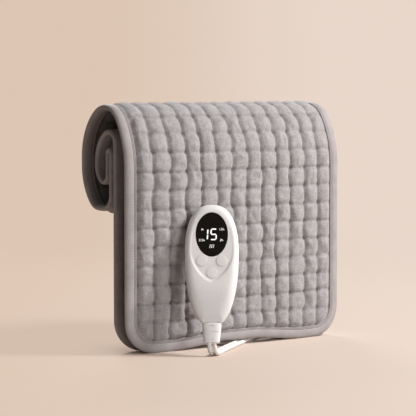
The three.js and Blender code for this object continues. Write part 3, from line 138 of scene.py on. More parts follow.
def new_finish(name, **constants):
    """A material with one shader; its constant sockets are set straight on the shader."""
    finish = bpy.data.materials.new(name)
    finish.use_nodes = True
    for socket, value in constants.items():
        shader_of(finish).inputs[socket.replace("_", " ")].default_value = value
    return finish


def coordinates(finish, kind="Object"):
    """Where a point lies on the piece, by Object or UV coordinates."""
    return Field(finish.node_tree.nodes.new("ShaderNodeTexCoord").outputs[kind])


def feed(finish, **fields):
    for socket, field in fields.items():
        finish.node_tree.links.new(field.socket, shader_of(finish).inputs[socket.replace("_", " ")])


def seen_plainly(tree):
    """1 for what the camera sees itself, in a reflection or through a window, 0 for light that bounces."""
    path = tree.nodes.new("ShaderNodeLightPath")
    camera_ray, glossy_ray, passing_ray = (
        Field(path.outputs[f"Is {kind} Ray"]) for kind in ("Camera", "Glossy", "Transmission")
    )
    return camera_ray + glossy_ray + passing_ray


def link(obj):
    bpy.context.scene.collection.objects.link(obj)
    return obj


def mesh_piece(name, points, faces, finish, smooth=True, sharp=None):
    """A new piece from points in millimetres, with its finish."""
    mesh = bpy.data.meshes.new(name)
    mesh.from_pydata(np.asarray(points, float) * MM, [], faces)
    mesh.validate()
    mesh.materials.append(finish)
    mesh.polygons.foreach_set("use_smooth", [smooth] * len(mesh.polygons))
    if sharp is not None:
        mesh.set_sharp_from_angle(angle=math.radians(sharp))
    mesh.update()
    return link(bpy.data.objects.new(name, mesh))


heading = Vector((math.sin(VIEW_TURN), math.cos(VIEW_TURN), 0))
across = Vector((math.cos(VIEW_TURN), -math.sin(VIEW_TURN), 0))
camera_data = bpy.data.cameras.new("camera")
camera_data.sensor_width = SENSOR_WIDTH
camera_data.lens = SENSOR_WIDTH * LENS_PIXELS / FRAME_PIXELS
camera_data.clip_end = 20
camera = link(bpy.data.objects.new("camera", camera_data))
camera.location = CAMERA_PLACE * MM
sight = heading * math.cos(VIEW_DIP) - Vector((0, 0, math.sin(VIEW_DIP)))
camera.rotation_euler = sight.to_track_quat("-Z", "Y").to_euler()
bpy.context.scene.camera = camera

card = new_finish("pale_card", Roughness=1.0, Specular_IOR_Level=0.0)
card_place = coordinates(card)


def along_card(way):
    """How far a place on the card lies along a direction."""
    sockets = {0: card_place, 1: way}
    return card_place.node("ShaderNodeVectorMath", {"operation": "DOT_PRODUCT"}, sockets, out=1)


# The card's colour is painted light: it glows for the camera, darker to the left and paler to the right as a
# painted light falloff, and its lit colour is paler to the left to make up for the weaker light there.
card_side = along_card(across).between(*CARD_SIDES)
card_shown = card_side.tint((221, 198, 180), (232, 215, 202))
card_lit = card_side.tint((240, 220, 205), (233, 216, 203))
seen = seen_plainly(card.node_tree)
feed(card, Base_Color=(CARD_BOUNCE + (1 - CARD_BOUNCE) * seen).shade(card_lit))
glow = seen.node("ShaderNodeEmission", {}, {"Color": card_shown, "Strength": 1.0})
open_air = seen.node("ShaderNodeAmbientOcclusion", {"samples": 8}, {"Distance": CONTACT_REACH}, out=1)
share = CARD_GLOW + (1 - CARD_GLOW) * along_card(heading).between(*CARD_DEPTHS)
share = share * open_air.between(*CONTACT_FADE)
plain = Field(shader_of(card).outputs["BSDF"])
mixed = seen.node("ShaderNodeMixShader", {}, {0: share * seen, 1: plain, 2: glow})
card.node_tree.links.new(mixed.socket, card.node_tree.nodes["Material Output"].inputs["Surface"])
sweep_line = [(SWEEP_NEAR, 0.0), (SWEEP_FAR, 0.0)]
for step in range(1, SWEEP_STEPS + 1):
    turn = math.radians(90) * step / SWEEP_STEPS
    sweep_line.append((SWEEP_FAR + SWEEP_RADIUS * math.sin(turn), SWEEP_RADIUS * (1 - math.cos(turn))))
sweep_line.append((SWEEP_FAR + SWEEP_RADIUS, SWEEP_TOP))
sweep_points = []
for along, up in sweep_line:
    for side in (-SWEEP_HALF, SWEEP_HALF):
        sweep_points.append((heading * along + across * side + Vector((0, 0, up))) / MM)
sweep_faces = [(2 * k, 2 * k + 1, 2 * k + 3, 2 * k + 2) for k in range(len(sweep_line) - 1)]
backdrop = mesh_piece("backdrop", sweep_points, sweep_faces, card)


def soft_lamp(name, place, aim, size, power, colour):
    lamp = bpy.data.lights.new(name, "AREA")
    lamp.shape = "DISK"
    lamp.size = size
    lamp.energy = power
    lamp.color = colour
    obj = link(bpy.data.objects.new(name, lamp))
    obj.location = place
    obj.rotation_euler = (Vector(aim) - Vector(place)).to_track_quat("-Z", "Y").to_euler()


soft_lamp("key_lamp", (1.05, -0.85, 1.3), (0, 0, 0.14), 0.5, 34, LAMP_TINT)
soft_lamp("fill_lamp", (0.05, -2.4, 0.5), (0, 0, 0.12), 0.9, 23, FILL_TINT)
soft_lamp("back_lamp", (0.7, 1.7, 1.5), (0, 0.08, 0.14), 0.8, 27, LAMP_TINT)
world = bpy.data.worlds.new("room")
world.use_nodes = True
room_light = world.node_tree.nodes["Background"]
room_light.inputs["Color"].default_value = ROOM_TINT
room_light.inputs["Strength"].default_value = ROOM_LIGHT
room_seen = seen_plainly(world.node_tree)
wall_sockets = {"Color": (*linear(226, 206, 190), 1.0), "Strength": 1.0}
room_wall = room_seen.node("ShaderNodeBackground", {}, wall_sockets)
room_sockets = {0: room_seen, 1: Field(room_light.outputs[0]), 2: room_wall}
room = room_seen.node("ShaderNodeMixShader", {}, room_sockets)
world.node_tree.links.new(room.socket, world.node_tree.nodes["World Output"].inputs["Surface"])
bpy.context.scene.world = world
bpy.context.scene.view_settings.view_transform = "Standard"

# The sheet's fold: one long quilted sheet, bound all round, folded in two and rolled back over itself so
# that it stands on its two ends. The fold is walked in the side plane as straight runs, and arcs with
# their radius and degrees. The sheet's side edges lean back a little, as a soft pad's do.
PAD_WIDTH = 300
CORNER_RADIUS = 36
REAR_PANEL_Y = 22.05
FRONT_RISE = 205
SHOULDER = (95, 35)
CROWN = (33, 90)
BACK_SLOPE = (62, 55)
BACK_RUN = 10
ROLL_BACK = (58, 45)
ROLL_FOOT = (20, 45)
TONGUE_RADIUS = 16
TONGUE_GAP = 3.4
TONGUE_RUN = 46
LIP_GAP = 0.8
LIP_RUN = 24
CURL = (8.5, -120)
CURL_BACK = (20, -60)
LOOP_RUN = 5
LOOP_TOP = (36, -60)
LOOP_TURN = -120
ARCH_FRONT_X = 1
ARCH_REAR_X = 34
ARCH_LIFT = 6.2
ARCH_HALF = 17
ARCH_RAMP = 78
ARCH_REACH = 60
EDGE_BOW = 6.5
BOW_POWER = 2.6
fold_rows = []
fold_pen = [0.0, 0.0, 0.0, math.pi / 2]


def fold_run(length):
    along, y, z, turn = fold_pen
    fold_rows.append((along, y, z, turn, 0.0))
    fold_pen[:3] = along + length, y + length * math.cos(turn), z + length * math.sin(turn)


def fold_arc(radius, degrees):
    along, y, z, turn = fold_pen
    side = math.copysign(radius, degrees)
    fold_rows.append((along, y, z, turn, 1 / side))
    after = turn - math.radians(degrees)
    fold_pen[0] = along + radius * abs(math.radians(degrees))
    fold_pen[1] = y + side * (math.sin(turn) - math.sin(after))
    fold_pen[2] = z - side * (math.cos(turn) - math.cos(after))
    fold_pen[3] = after


fold_run(FRONT_RISE)
fold_arc(*SHOULDER)
crown_from = fold_pen[0]
fold_arc(*CROWN)
crown_to = fold_pen[0]
fold_arc(*BACK_SLOPE)
fold_run(BACK_RUN)
fold_arc(*ROLL_BACK)
fold_arc(*ROLL_FOOT)
fold_run(fold_pen[1] - TONGUE_RADIUS - (REAR_PANEL_Y + 2 * TAPE_LEVEL + TONGUE_GAP))
tongue_from = fold_pen[0]
fold_arc(TONGUE_RADIUS, 90)
heel_z = fold_pen[2] - TONGUE_RADIUS
fold_run(TONGUE_RUN)
fold_arc(TAPE_LEVEL + LIP_GAP, 180)
fold_run(LIP_RUN)
fold_arc(*CURL)
curl_to = fold_pen[0]
fold_arc(*CURL_BACK)
fold_run(LOOP_RUN)
fold_arc(*LOOP_TOP)
fold_arc((fold_pen[1] - REAR_PANEL_Y) / (1 + math.sin(fold_pen[3])), LOOP_TURN)
pressed_to = fold_pen[0] + fold_pen[2] - heel_z
fold_run(fold_pen[2])
SHEET_LENGTH = fold_pen[0]
fold_table = np.array(fold_rows)


def smoothstep(value, low, high):
    share = np.clip((np.asarray(value, float) - low) / (high - low), 0, 1)
    return share * share * (3 - 2 * share)


def arch_lift(x, from_end):
    """How far an end edge is raised where the leads pass under it."""
    aside = smoothstep(np.abs(x), ARCH_HALF, ARCH_HALF + ARCH_RAMP)
    return ARCH_LIFT * (1 - aside) * smoothstep(1 - from_end / ARCH_REACH, 0, 1)


def sheet_points(u, s, n):
    """Places on the folded sheet, at width u, distance s along it and height n over its mid surface."""
    u, s, n = np.broadcast_arrays(np.asarray(u, float), np.asarray(s, float), np.asarray(n, float))
    part = np.clip(np.searchsorted(fold_table[:, 0], s, side="right") - 1, 0, len(fold_table) - 1)
    start, y, z, turn, bend = (fold_table[part, k] for k in range(5))
    went = s - start
    after = turn - went * bend
    flat = bend == 0
    radius = 1 / np.where(flat, 1, bend)
    y = y + np.where(flat, went * np.cos(turn), radius * (np.sin(turn) - np.sin(after)))
    z = z + np.where(flat, went * np.sin(turn), -radius * (np.cos(turn) - np.cos(after)))
    lift = arch_lift(u - ARCH_FRONT_X, s) + arch_lift(u - ARCH_REAR_X, SHEET_LENGTH - s)
    bow = EDGE_BOW * (np.abs(u) * 2 / PAD_WIDTH) ** BOW_POWER
    return np.stack([u, y - n * np.sin(after) + bow + PAD_SHIFT, z + n * np.cos(after) + lift], axis=-1)


def half_width(s, inset):
    """Half the sheet's width at a distance along it, inset from the edge and round its corners."""
    radius = CORNER_RADIUS - inset
    deep = np.clip(CORNER_RADIUS - np.minimum(s, SHEET_LENGTH - s), 0, radius)
    return PAD_WIDTH / 2 - CORNER_RADIUS + np.sqrt(radius**2 - deep**2)


def sheet_grid(inset, rows, columns):
    """Rows and columns of places over the sheet, inset from its edge: widths and distances along it."""
    s = np.linspace(inset, SHEET_LENGTH - inset, rows)[:, None]
    u = half_width(s, inset) * np.linspace(-1, 1, columns)[None, :]
    return u, np.broadcast_to(s, u.shape)


# The two covers: soft short-pile fleece, sewn through a thin filling in rows and columns, so that each cell
# swells between its seams and is pinned hard at each crossing. The face cover is the plump one; the reverse
# has lower ribs. Both are tucked under the binding, and both are pressed flat in the fold inside the roll.
COLUMNS = 13
FIELD_INSET = 13.8
COVER_INSET = 4
COVER_INNER = 1.225
EDGE_LEVEL = 1.725
SEAM_LEVEL = 2.425
PUFF_LEVEL = 6.025
RIM_FADE = 5
RIM_RISE = 7
PRESS_FADE = 9
PRESSED_SHARE = 0.9
CROWN_TAUT = 0.4
FIELD_SIDE = PAD_WIDTH / 2 - FIELD_INSET
CELL_WIDE = 2 * FIELD_SIDE / COLUMNS
ROWS = round((SHEET_LENGTH - 2 * FIELD_INSET) / CELL_WIDE)
CELL_LONG = (SHEET_LENGTH - 2 * FIELD_INSET) / ROWS
PATCH_ROWS = 14
CELL_STEPS = 11
SIDE_WANDER = 1.5
SIDE_MOST = 2.6
END_WANDER = 0.9
END_MOST = 1.7
PLUMP = (0.82, 1.12)
REST_CELL = (3, 6)
REST_PLUMP = 1.5
SWELL_POWER = 0.6
SAG_LEAN = 0.9
SAG_POWER = 4
COARSE_LUMPS = (0.12, 7.5)
FINE_LUMPS = (0.08, 3.8)
CHANNEL_WIDTH = 1.5
CHANNEL_DEPTH = 0.7
CHANNEL_SHADE = 0.6
CROSS_WIDTH = 1.3
CROSS_SHADE = 0.28
DIMPLE_WIDTH = 2.3
DIMPLE_DEPTH = 0.6
DIMPLE_DRAW = 0.75
DIMPLE_SHADE = 1.3
CROSS_HOLD = 0.8
CLOTH_BODY = 0.6
CLOTH_SLACK = 0.04
CLOTH_AIR = 12
CLOTH_FRAMES = 14
CLOTH_UNITS = 10
# How strongly the painted shade darkens the fleece in its seams, channels and crossings.
SEAM_PAINTED_SHADE = 0.82
TONE_SPREAD = (0.3, 0.7)


def ripple(u, s, size, seed):
    """Smooth random lumps of about a size, from -1 to 1, the same each time."""
    counts = int(np.max(u) / size) + 3, int(np.max(s) / size) + 3
    lattice = np.random.default_rng(seed).uniform(-1, 1, counts)
    i, j = np.floor(u / size).astype(int), np.floor(s / size).astype(int)
    x, y = smoothstep(u / size - i, 0, 1), smoothstep(s / size - j, 0, 1)
    near = lattice[i, j] * (1 - x) + lattice[i + 1, j] * x
    far = lattice[i, j + 1] * (1 - x) + lattice[i + 1, j + 1] * x
    return near * (1 - y) + far * y


def blown(places, faces, seam_lines, cross_lines):
    """The quilt's cloth, held along its seams, with a little slack and air pressed in under it."""
    mesh = bpy.data.meshes.new("patch")
    mesh.from_pydata(places.reshape(-1, 3) * MM, [], faces)
    patch = link(bpy.data.objects.new("patch", mesh))
    pins = patch.vertex_groups.new(name="sewn")
    pins.add(np.flatnonzero(cross_lines).tolist(), CROSS_HOLD, "REPLACE")
    pins.add(np.flatnonzero(seam_lines).tolist(), 1.0, "REPLACE")
    change = patch.modifiers.new("cloth", "CLOTH")
    cloth = change.settings
    cloth.quality = 4
    cloth.mass = 0.2
    cloth.air_damping = 4
    cloth.tension_stiffness = 8
    cloth.compression_stiffness = 8
    cloth.shear_stiffness = 3
    cloth.bending_stiffness = CLOTH_BODY
    cloth.vertex_group_mass = "sewn"
    cloth.shrink_min = -CLOTH_SLACK
    cloth.shrink_max = -CLOTH_SLACK
    cloth.use_pressure = True
    cloth.uniform_pressure_force = CLOTH_AIR
    cloth.effector_weights.gravity = 0
    change.collision_settings.use_collision = False
    for moment in range(1, CLOTH_FRAMES + 1):
        bpy.context.scene.frame_set(moment)
    made = patch.evaluated_get(bpy.context.evaluated_depsgraph_get()).data
    spots = np.empty(3 * len(made.vertices), np.float32)
    made.vertices.foreach_get("co", spots)
    bpy.context.scene.frame_set(1)
    bpy.data.objects.remove(patch)
    return spots.reshape(places.shape) / MM


def hump(distance, width):
    """1 on a line, falling off smoothly to either side."""
    return np.exp(-((distance / width) ** 2))


def sewn_patch(seed, rise, channel, seam_keep, simulated):
    """A patch of quilt as wide as the pad: how far each place of a fine grid moves, and its painted seam
    shade.
    """
    draw = np.random.default_rng(seed)
    side_bow = draw.normal(0, SIDE_WANDER, (COLUMNS + 1, PATCH_ROWS)).clip(-SIDE_MOST, SIDE_MOST)
    side_bow[[0, -1]] = 0
    end_bow = draw.normal(0, END_WANDER, (COLUMNS, PATCH_ROWS + 1)).clip(-END_MOST, END_MOST)
    end_bow[:, [0, -1]] = 0
    plump = draw.uniform(*PLUMP, (COLUMNS, PATCH_ROWS))
    plump[REST_CELL] = REST_PLUMP
    row, column = np.mgrid[0 : PATCH_ROWS * CELL_STEPS + 1, 0 : COLUMNS * CELL_STEPS + 1]
    j = np.minimum(column // CELL_STEPS, COLUMNS - 1)
    i = np.minimum(row // CELL_STEPS, PATCH_ROWS - 1)
    a, b = column / CELL_STEPS - j, row / CELL_STEPS - i
    u, s = column / CELL_STEPS * CELL_WIDE, row / CELL_STEPS * CELL_LONG
    across_move = (side_bow[j, i] * (1 - a) + side_bow[j + 1, i] * a) * np.sin(np.pi * b)
    along_move = (end_bow[j, i] * (1 - b) + end_bow[j, i + 1] * b) * np.sin(np.pi * a)
    swell = (1 - np.abs(2 * a - 1) ** channel) ** SWELL_POWER
    sag = (1 - np.abs(2 * b**SAG_LEAN - 1) ** SAG_POWER) ** 0.5
    from_side = np.minimum(a, 1 - a) * CELL_WIDE
    from_end = np.minimum(b, 1 - b) * CELL_LONG
    dimple = hump(np.hypot(from_side, from_end), DIMPLE_WIDTH)
    channel_line = hump(from_side, CHANNEL_WIDTH)
    lumps = 1.0
    for k, (share, size) in enumerate((COARSE_LUMPS, FINE_LUMPS)):
        lumps = lumps + share * ripple(u, s, size, seed + 1 + k)
    up = rise * swell * (seam_keep + (1 - seam_keep) * sag) * plump[j, i] * lumps
    up = up * (1 - DIMPLE_DRAW * dimple) - CHANNEL_DEPTH * channel_line
    start = np.stack([u + across_move, s + along_move, up], axis=-1)
    if simulated:
        wide = row.shape[1]
        corner = (row[:-1, :-1] * wide + column[:-1, :-1]).ravel()
        faces = np.stack([corner, corner + 1, corner + wide + 1, corner + wide], axis=1).tolist()
        seam_lines = (column % CELL_STEPS == 0) | (row % (PATCH_ROWS * CELL_STEPS) == 0)
        start = blown(start, faces, seam_lines, row % CELL_STEPS == 0)
    moved = start - np.stack([u, s, np.zeros_like(u)], axis=-1)
    moved[..., 2] -= DIMPLE_DEPTH * dimple
    # Painted shade: darker along the channels, across the seams and most at the crossings, where the puffs
    # shade the fabric.
    shade = np.maximum(CHANNEL_SHADE * channel_line, CROSS_SHADE * hump(from_end, CROSS_WIDTH))
    return moved, np.clip(np.maximum(shade, DIMPLE_SHADE * dimple), 0, 1)


def field_depth(u, s):
    """How far a place lies inside the quilted field's rounded rim."""
    radius = CORNER_RADIUS - FIELD_INSET
    from_end = np.minimum(s, SHEET_LENGTH - s)
    x = np.maximum(np.abs(u) - (FIELD_SIDE - radius), 0)
    y = np.maximum(CORNER_RADIUS - from_end, 0)
    straight = np.minimum(FIELD_SIDE - np.abs(u), from_end - FIELD_INSET)
    return np.where((x > 0) & (y > 0), radius - np.hypot(x, y), straight)


def pressed(s, first, last):
    """1 where the sheet is pressed flat between two distances along it, 0 elsewhere."""
    rise = smoothstep(s, first - PRESS_FADE, first + PRESS_FADE)
    return rise - smoothstep(s, last - PRESS_FADE, last + PRESS_FADE)


def from_patch(u, s, grid):
    """A value of the patch at any place on the sheet; the patch is repeated along it."""
    x = np.clip((u + FIELD_SIDE) / CELL_WIDE, 0, COLUMNS - 1e-6) * CELL_STEPS
    y = np.clip((s - FIELD_INSET) / CELL_LONG, 0, ROWS - 1e-6) % PATCH_ROWS * CELL_STEPS
    i, j = np.floor(y).astype(int), np.floor(x).astype(int)
    x, y = x - j, y - i
    if grid.ndim == 3:
        x, y = x[..., None], y[..., None]
    near = grid[i, j] * (1 - x) + grid[i, j + 1] * x
    far = grid[i + 1, j] * (1 - x) + grid[i + 1, j + 1] * x
    return near * (1 - y) + far * y


def shell_faces(rows, columns, thin, side):
    """Faces of a closed shell: a fine outside, an inside with every thin-th column, and a rim."""
    inner = (columns - 1) // thin + 1
    base = rows * columns
    faces = []
    for r in range(rows - 1):
        for c in range(columns - 1):
            k = r * columns + c
            faces.append((k, k + 1, k + columns + 1, k + columns))
        for c in range(inner - 1):
            k = base + r * inner + c
            faces.append((k, k + inner, k + inner + 1, k + 1))
        left, right = r * columns, r * columns + columns - 1
        inner_left, inner_right = base + r * inner, base + r * inner + inner - 1
        faces.append((left, left + columns, inner_left + inner, inner_left))
        faces.append((right, inner_right, inner_right + inner, right + columns))
    for c in range(inner - 1):
        near = [c * thin + k for k in range(thin + 1)]
        far = [(rows - 1) * columns + k for k in near]
        end = base + (rows - 1) * inner + c
        faces.append((*reversed(near), base + c, base + c + 1))
        faces.append((*far, end + 1, end))
    return faces if side > 0 else [face[::-1] for face in faces]


def cover_piece(name, side, grid, thin, finish, patch, pressed_span):
    """One cover as a closed shell: a fine quilted outside, and a plain inside with every thin-th column."""
    rows = round((SHEET_LENGTH - 2 * COVER_INSET) / grid) + 1
    columns = thin * round((PAD_WIDTH - 2 * COVER_INSET) / grid / thin) + 1
    u, s = sheet_grid(COVER_INSET, rows, columns)
    inside_rim = field_depth(u, s)
    free = smoothstep(inside_rim, 0, RIM_FADE) * (1 - PRESSED_SHARE * pressed(s, *pressed_span))
    free *= 1 - CROWN_TAUT * pressed(s, crown_from, crown_to)
    moved = from_patch(u, s, patch[0]) * free[..., None]
    level = EDGE_LEVEL + (SEAM_LEVEL - EDGE_LEVEL) * smoothstep(inside_rim, 0, RIM_RISE)
    outside = sheet_points(u + moved[..., 0], s + moved[..., 1], side * (level + moved[..., 2]))
    inner_u, inner_s = u[:, ::thin], s[:, ::thin]
    inside = sheet_points(inner_u, inner_s, side * COVER_INNER)
    points = np.concatenate([outside.reshape(-1, 3), inside.reshape(-1, 3)])
    piece = mesh_piece(name, points, shell_faces(rows, columns, thin, side), finish)
    flat = np.stack([np.append(u, inner_u), np.append(s, inner_s)], axis=1)
    corner = np.empty(len(piece.data.loops), int)
    piece.data.loops.foreach_get("vertex_index", corner)
    layer = piece.data.uv_layers.new(name="cloth")
    layer.data.foreach_set("uv", (flat[corner] * MM * CLOTH_UNITS).ravel().astype(np.float32))
    painted_seam_shade = piece.data.attributes.new("painted_seam_shade", "FLOAT", "POINT")
    # The painted shade of the seams, channels and crossings, full on the hidden inside.
    deep = np.append(from_patch(u, s, patch[1]), np.ones(inner_u.size))
    painted_seam_shade.data.foreach_set("value", deep.astype(np.float32))
    return piece


def bump(finish, height, depth):
    sockets = {"Height": height, "Distance": depth, "Strength": 1.0}
    feed(finish, Normal=height.node("ShaderNodeBump", {}, sockets))


def fleece_finish(name, dark, light, pile):
    """Short-pile fleece: a soft sheen, brushed streaks and a fuzzy nap, with painted shade down in the
    seams.
    """
    finish = new_finish(name, Sheen_Weight=0.5, Sheen_Roughness=0.45, Specular_IOR_Level=0.12)
    cloth = coordinates(finish, "UV")
    brushed = cloth.node("ShaderNodeMapping", {}, {"Vector": cloth, "Scale": (26.0, 9.0, 1.0)})
    streaks = brushed.noise(1.0, 3, 0.6)
    nap = cloth.noise(55, 5, 0.7)
    patches = cloth.noise(11, 3, 0.6)
    fuzz = cloth.noise(260, 2, 0.6)
    painted_shade_node = finish.node_tree.nodes.new("ShaderNodeAttribute")
    painted_shade_node.attribute_name = "painted_seam_shade"
    painted_seam_shade = Field(painted_shade_node.outputs["Fac"])
    tone = 0.25 * streaks + 0.5 * nap + 0.25 * patches
    colour = tone.between(*TONE_SPREAD).tint(dark, light)
    # Painted shade: the fleece colour is darkened down in its seams, channels and crossings.
    feed(finish, Base_Color=(1 - SEAM_PAINTED_SHADE * painted_seam_shade).shade(colour))
    feed(finish, Roughness=0.85 + 0.15 * nap)
    bump(finish, 0.7 * nap + 0.3 * fuzz, pile)
    return finish


face_fleece = fleece_finish("face_fleece", (150, 145, 147), (202, 198, 200), 0.0014)
# The reverse fleece's darker tones are painted shade for the reverse, which lies in shade behind the face
# panel and inside the fold.
reverse_fleece = fleece_finish("reverse_fleece", (108, 102, 102), (138, 132, 132), 0.0009)
face_patch = sewn_patch(11, rise=PUFF_LEVEL - SEAM_LEVEL, channel=2.4, seam_keep=0.4, simulated=True)
reverse_patch = sewn_patch(23, rise=2.9, channel=7, seam_keep=0.05, simulated=False)
face_pressed = (tongue_from, pressed_to)
reverse_pressed = (tongue_from, curl_to)
face_cover = cover_piece("face_cover", 1, 1.85, 6, face_fleece, face_patch, face_pressed)
reverse_cover = cover_piece("reverse_cover", -1, 2.6, 4, reverse_fleece, reverse_patch, reverse_pressed)
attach(face_cover, "pad_and_controller")
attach(reverse_cover, "pad_and_controller")
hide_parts("front_cover")
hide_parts("back_cover")

# The heating layer: a thin needled felt between the covers, with one sheathed heating wire laid on it in
# long rows. It is sealed in, so only its shape matters; it follows the sheet through every fold.
FELT_HIGH = 0.975
FELT_LOW = 0.075
FELT_INSET = 3
FELT_COLUMNS = 24
FELT_STEP = 3
WIRE_LEVEL = -0.575
WIRE_DIAMETER = 0.8
WIRE_PITCH = 44
WIRE_MARGIN = 14
WIRE_CORNER = 6
WIRE_STEP = 4
TAPE_WIDTH = 13


def mottled(name, grains, dark, light, rough=None, fuzz=None, **constants):
    """A finish that wanders between two tones by grains of noise, each with its share, scale and detail."""
    finish = new_finish(name, **constants)
    place = coordinates(finish)
    mottle = sum(share * place.noise(*grain) for share, *grain in grains)
    feed(finish, Base_Color=mottle.between(*TONE_SPREAD).tint(dark, light))
    if rough:
        feed(finish, Roughness=rough[0] + rough[1] * mottle)
    if fuzz:
        depth, *grain = fuzz
        bump(finish, place.noise(*grain), depth)
    return finish


felt_length = SHEET_LENGTH - 2 * FELT_INSET
felt_rows = round(felt_length / FELT_STEP) + 1
felt_u, felt_s = sheet_grid(FELT_INSET, felt_rows, FELT_COLUMNS + 1)
felt_layers = [sheet_points(felt_u, felt_s, level).reshape(-1, 3) for level in (FELT_HIGH, FELT_LOW)]
felt_fibre = (700, 4, 0.7)
felt_finish = mottled(
    "needled_felt", ((1, *felt_fibre),), (203, 197, 188), (226, 222, 214), fuzz=(0.0003, *felt_fibre),
    Roughness=1.0, Specular_IOR_Level=0.1,
)
felt_faces = shell_faces(felt_rows, FELT_COLUMNS + 1, 1, 1)
felt = mesh_piece("heater_felt_layer", np.concatenate(felt_layers), felt_faces, felt_finish)
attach(felt, "pad_and_controller")
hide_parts("heater_felt")
round(felt_length * MM, 3)

wire_reach = FIELD_SIDE - WIRE_MARGIN
wire_first = TAPE_WIDTH + WIRE_MARGIN
wire_runs = int((SHEET_LENGTH - 2 * wire_first) // WIRE_PITCH)
wire_route = []
for k in range(wire_runs + 1):
    side = -1 if k % 2 else 1
    s = wire_first + k * WIRE_PITCH
    if k:
        wire_route.append((-side * wire_reach, s - WIRE_CORNER))
    wire_route.append((-side * (wire_reach - WIRE_CORNER), s))
    wire_route.append((side * (wire_reach - WIRE_CORNER), s))
    if k < wire_runs:
        wire_route.append((side * wire_reach, s + WIRE_CORNER))
wire_flat = []
for (u0, s0), (u1, s1) in zip(wire_route, wire_route[1:]):
    steps = max(2, round(math.hypot(u1 - u0, s1 - s0) / WIRE_STEP))
    wire_flat += [(u0 + (u1 - u0) * t / steps, s0 + (s1 - s0) * t / steps) for t in range(steps)]
wire_flat.append(wire_route[-1])
wire_line = sheet_points(*np.array(wire_flat).T, WIRE_LEVEL)


def round_cord(name, line, diameter, roundness, finish):
    """A round cord along a line in millimetres, as a curve of one open spline."""
    curve = bpy.data.curves.new(name, "CURVE")
    curve.dimensions = "3D"
    curve.bevel_depth = diameter / 2 * MM
    curve.bevel_resolution = roundness
    curve.use_fill_caps = True
    curve.materials.append(finish)
    spline = curve.splines.new("POLY")
    spline.points.add(len(line) - 1)
    for point, place in zip(spline.points, line):
        point.co = (*(Vector(place) * MM), 1)
    spline.use_smooth = True
    return link(bpy.data.objects.new(name, curve))


def plain_mesh(piece):
    """A piece's finished shape, with its modifiers worked out, as a mesh of its own."""
    return bpy.data.meshes.new_from_object(piece.evaluated_get(bpy.context.evaluated_depsgraph_get()))


wire_finish = mottled("wire_sheath", ((1, 500, 2),), (218, 210, 192), (233, 227, 213), Roughness=0.6)
wire_curve = round_cord("wire_curve", wire_line, WIRE_DIAMETER, 1, wire_finish)
wire_mesh = plain_mesh(wire_curve)
bpy.data.objects.remove(wire_curve)
wire_mesh.name = "heating_wire_run"
wire_piece = link(bpy.data.objects.new("heating_wire_run", wire_mesh))
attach(wire_piece, "pad_and_controller")
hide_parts("heating_wire")

# The binding: a smooth woven tape folded over the sheet's edge all the way round, plump along its outer
# rim, its inner edge turned under as a narrow bead. Two close rows of lockstitch hold it, and it gathers
# a little round the corners. Its section is given as insets from the sheet's edge and levels.
TAPE_SECTION = (
    (13.35, 2.02), (13.55, 2.3), (13.4, 2.72), (12.95, 2.95), (12.45, 2.86), (12.15, 2.5), (11.9, 2.5),
    (11.6, 2.84), (11.25, 2.9), (10.9, 2.84), (10.65, 2.5), (10.35, 2.5), (10.0, 2.86), (9.2, 3.08),
    (7.8, 3.26), (6.2, 3.34), (4.6, 3.24), (3.2, 2.98), (2.0, 2.52), (1.05, 1.9), (0.4, 1.15), (0.08, 0.4),
)
TAPE_SLOT = ((13.2, 1.92), (9.0, 1.9), (4.5, 1.9), (2.6, 1.7), (2.4, 0.6))
TAPE_PRESSED = 2.6
LOOSE_FROM = (0.3, 3)
LOOSE_UNTIL = (9, 10.4)
PUCKER_STEP = 3.5
PUCKER_HEIGHT = 0.12
GATHER_PITCH = 4.2
GATHER_HEIGHT = 0.16
EDGE_STEP = 2.3
END_STEP = 3.0
CORNER_STEPS = 18


def edge_walk():
    """Places round the sheet's edge: the inner rectangle's point and the way out from it, in order."""
    flat = PAD_WIDTH / 2 - CORNER_RADIUS
    far = SHEET_LENGTH - CORNER_RADIUS
    ends = np.linspace(-flat, flat, round(2 * flat / END_STEP) + 1)
    sides = np.linspace(CORNER_RADIUS, far, round((far - CORNER_RADIUS) / EDGE_STEP) + 1)
    turns = np.linspace(0, math.pi / 2, CORNER_STEPS + 1)[1:-1]
    walk = [(u, CORNER_RADIUS, 0, -1) for u in ends]
    walk += [(flat, CORNER_RADIUS, math.sin(t), -math.cos(t)) for t in turns]
    walk += [(flat, s, 1, 0) for s in sides]
    walk += [(flat, far, math.cos(t), math.sin(t)) for t in turns]
    walk += [(u, far, 0, 1) for u in reversed(ends)]
    walk += [(-flat, far, -math.sin(t), math.cos(t)) for t in turns]
    walk += [(-flat, s, -1, 0) for s in reversed(sides)]
    walk += [(-flat, CORNER_RADIUS, -math.cos(t), -math.sin(t)) for t in turns]
    return np.array(walk)


edge = edge_walk()
edge_spot = edge[:, :2] + edge[:, 2:] * CORNER_RADIUS
edge_gap = np.linalg.norm(np.diff(edge_spot, axis=0, append=edge_spot[:1]), axis=1)
edge_along = np.cumsum(edge_gap) - edge_gap
edge_count = len(edge)


def edge_ring(inset, level):
    """One loop round the sheet at an inset from its edge, its crown pressed down inside the fold."""
    flat = edge[:, :2] + edge[:, 2:] * (CORNER_RADIUS - inset)
    crown = np.sign(level) * np.maximum(np.abs(level) - TAPE_PRESSED, 0)
    level = level - crown * pressed(flat[:, 1], tongue_from, pressed_to)
    return sheet_points(flat[:, 0], flat[:, 1], level)


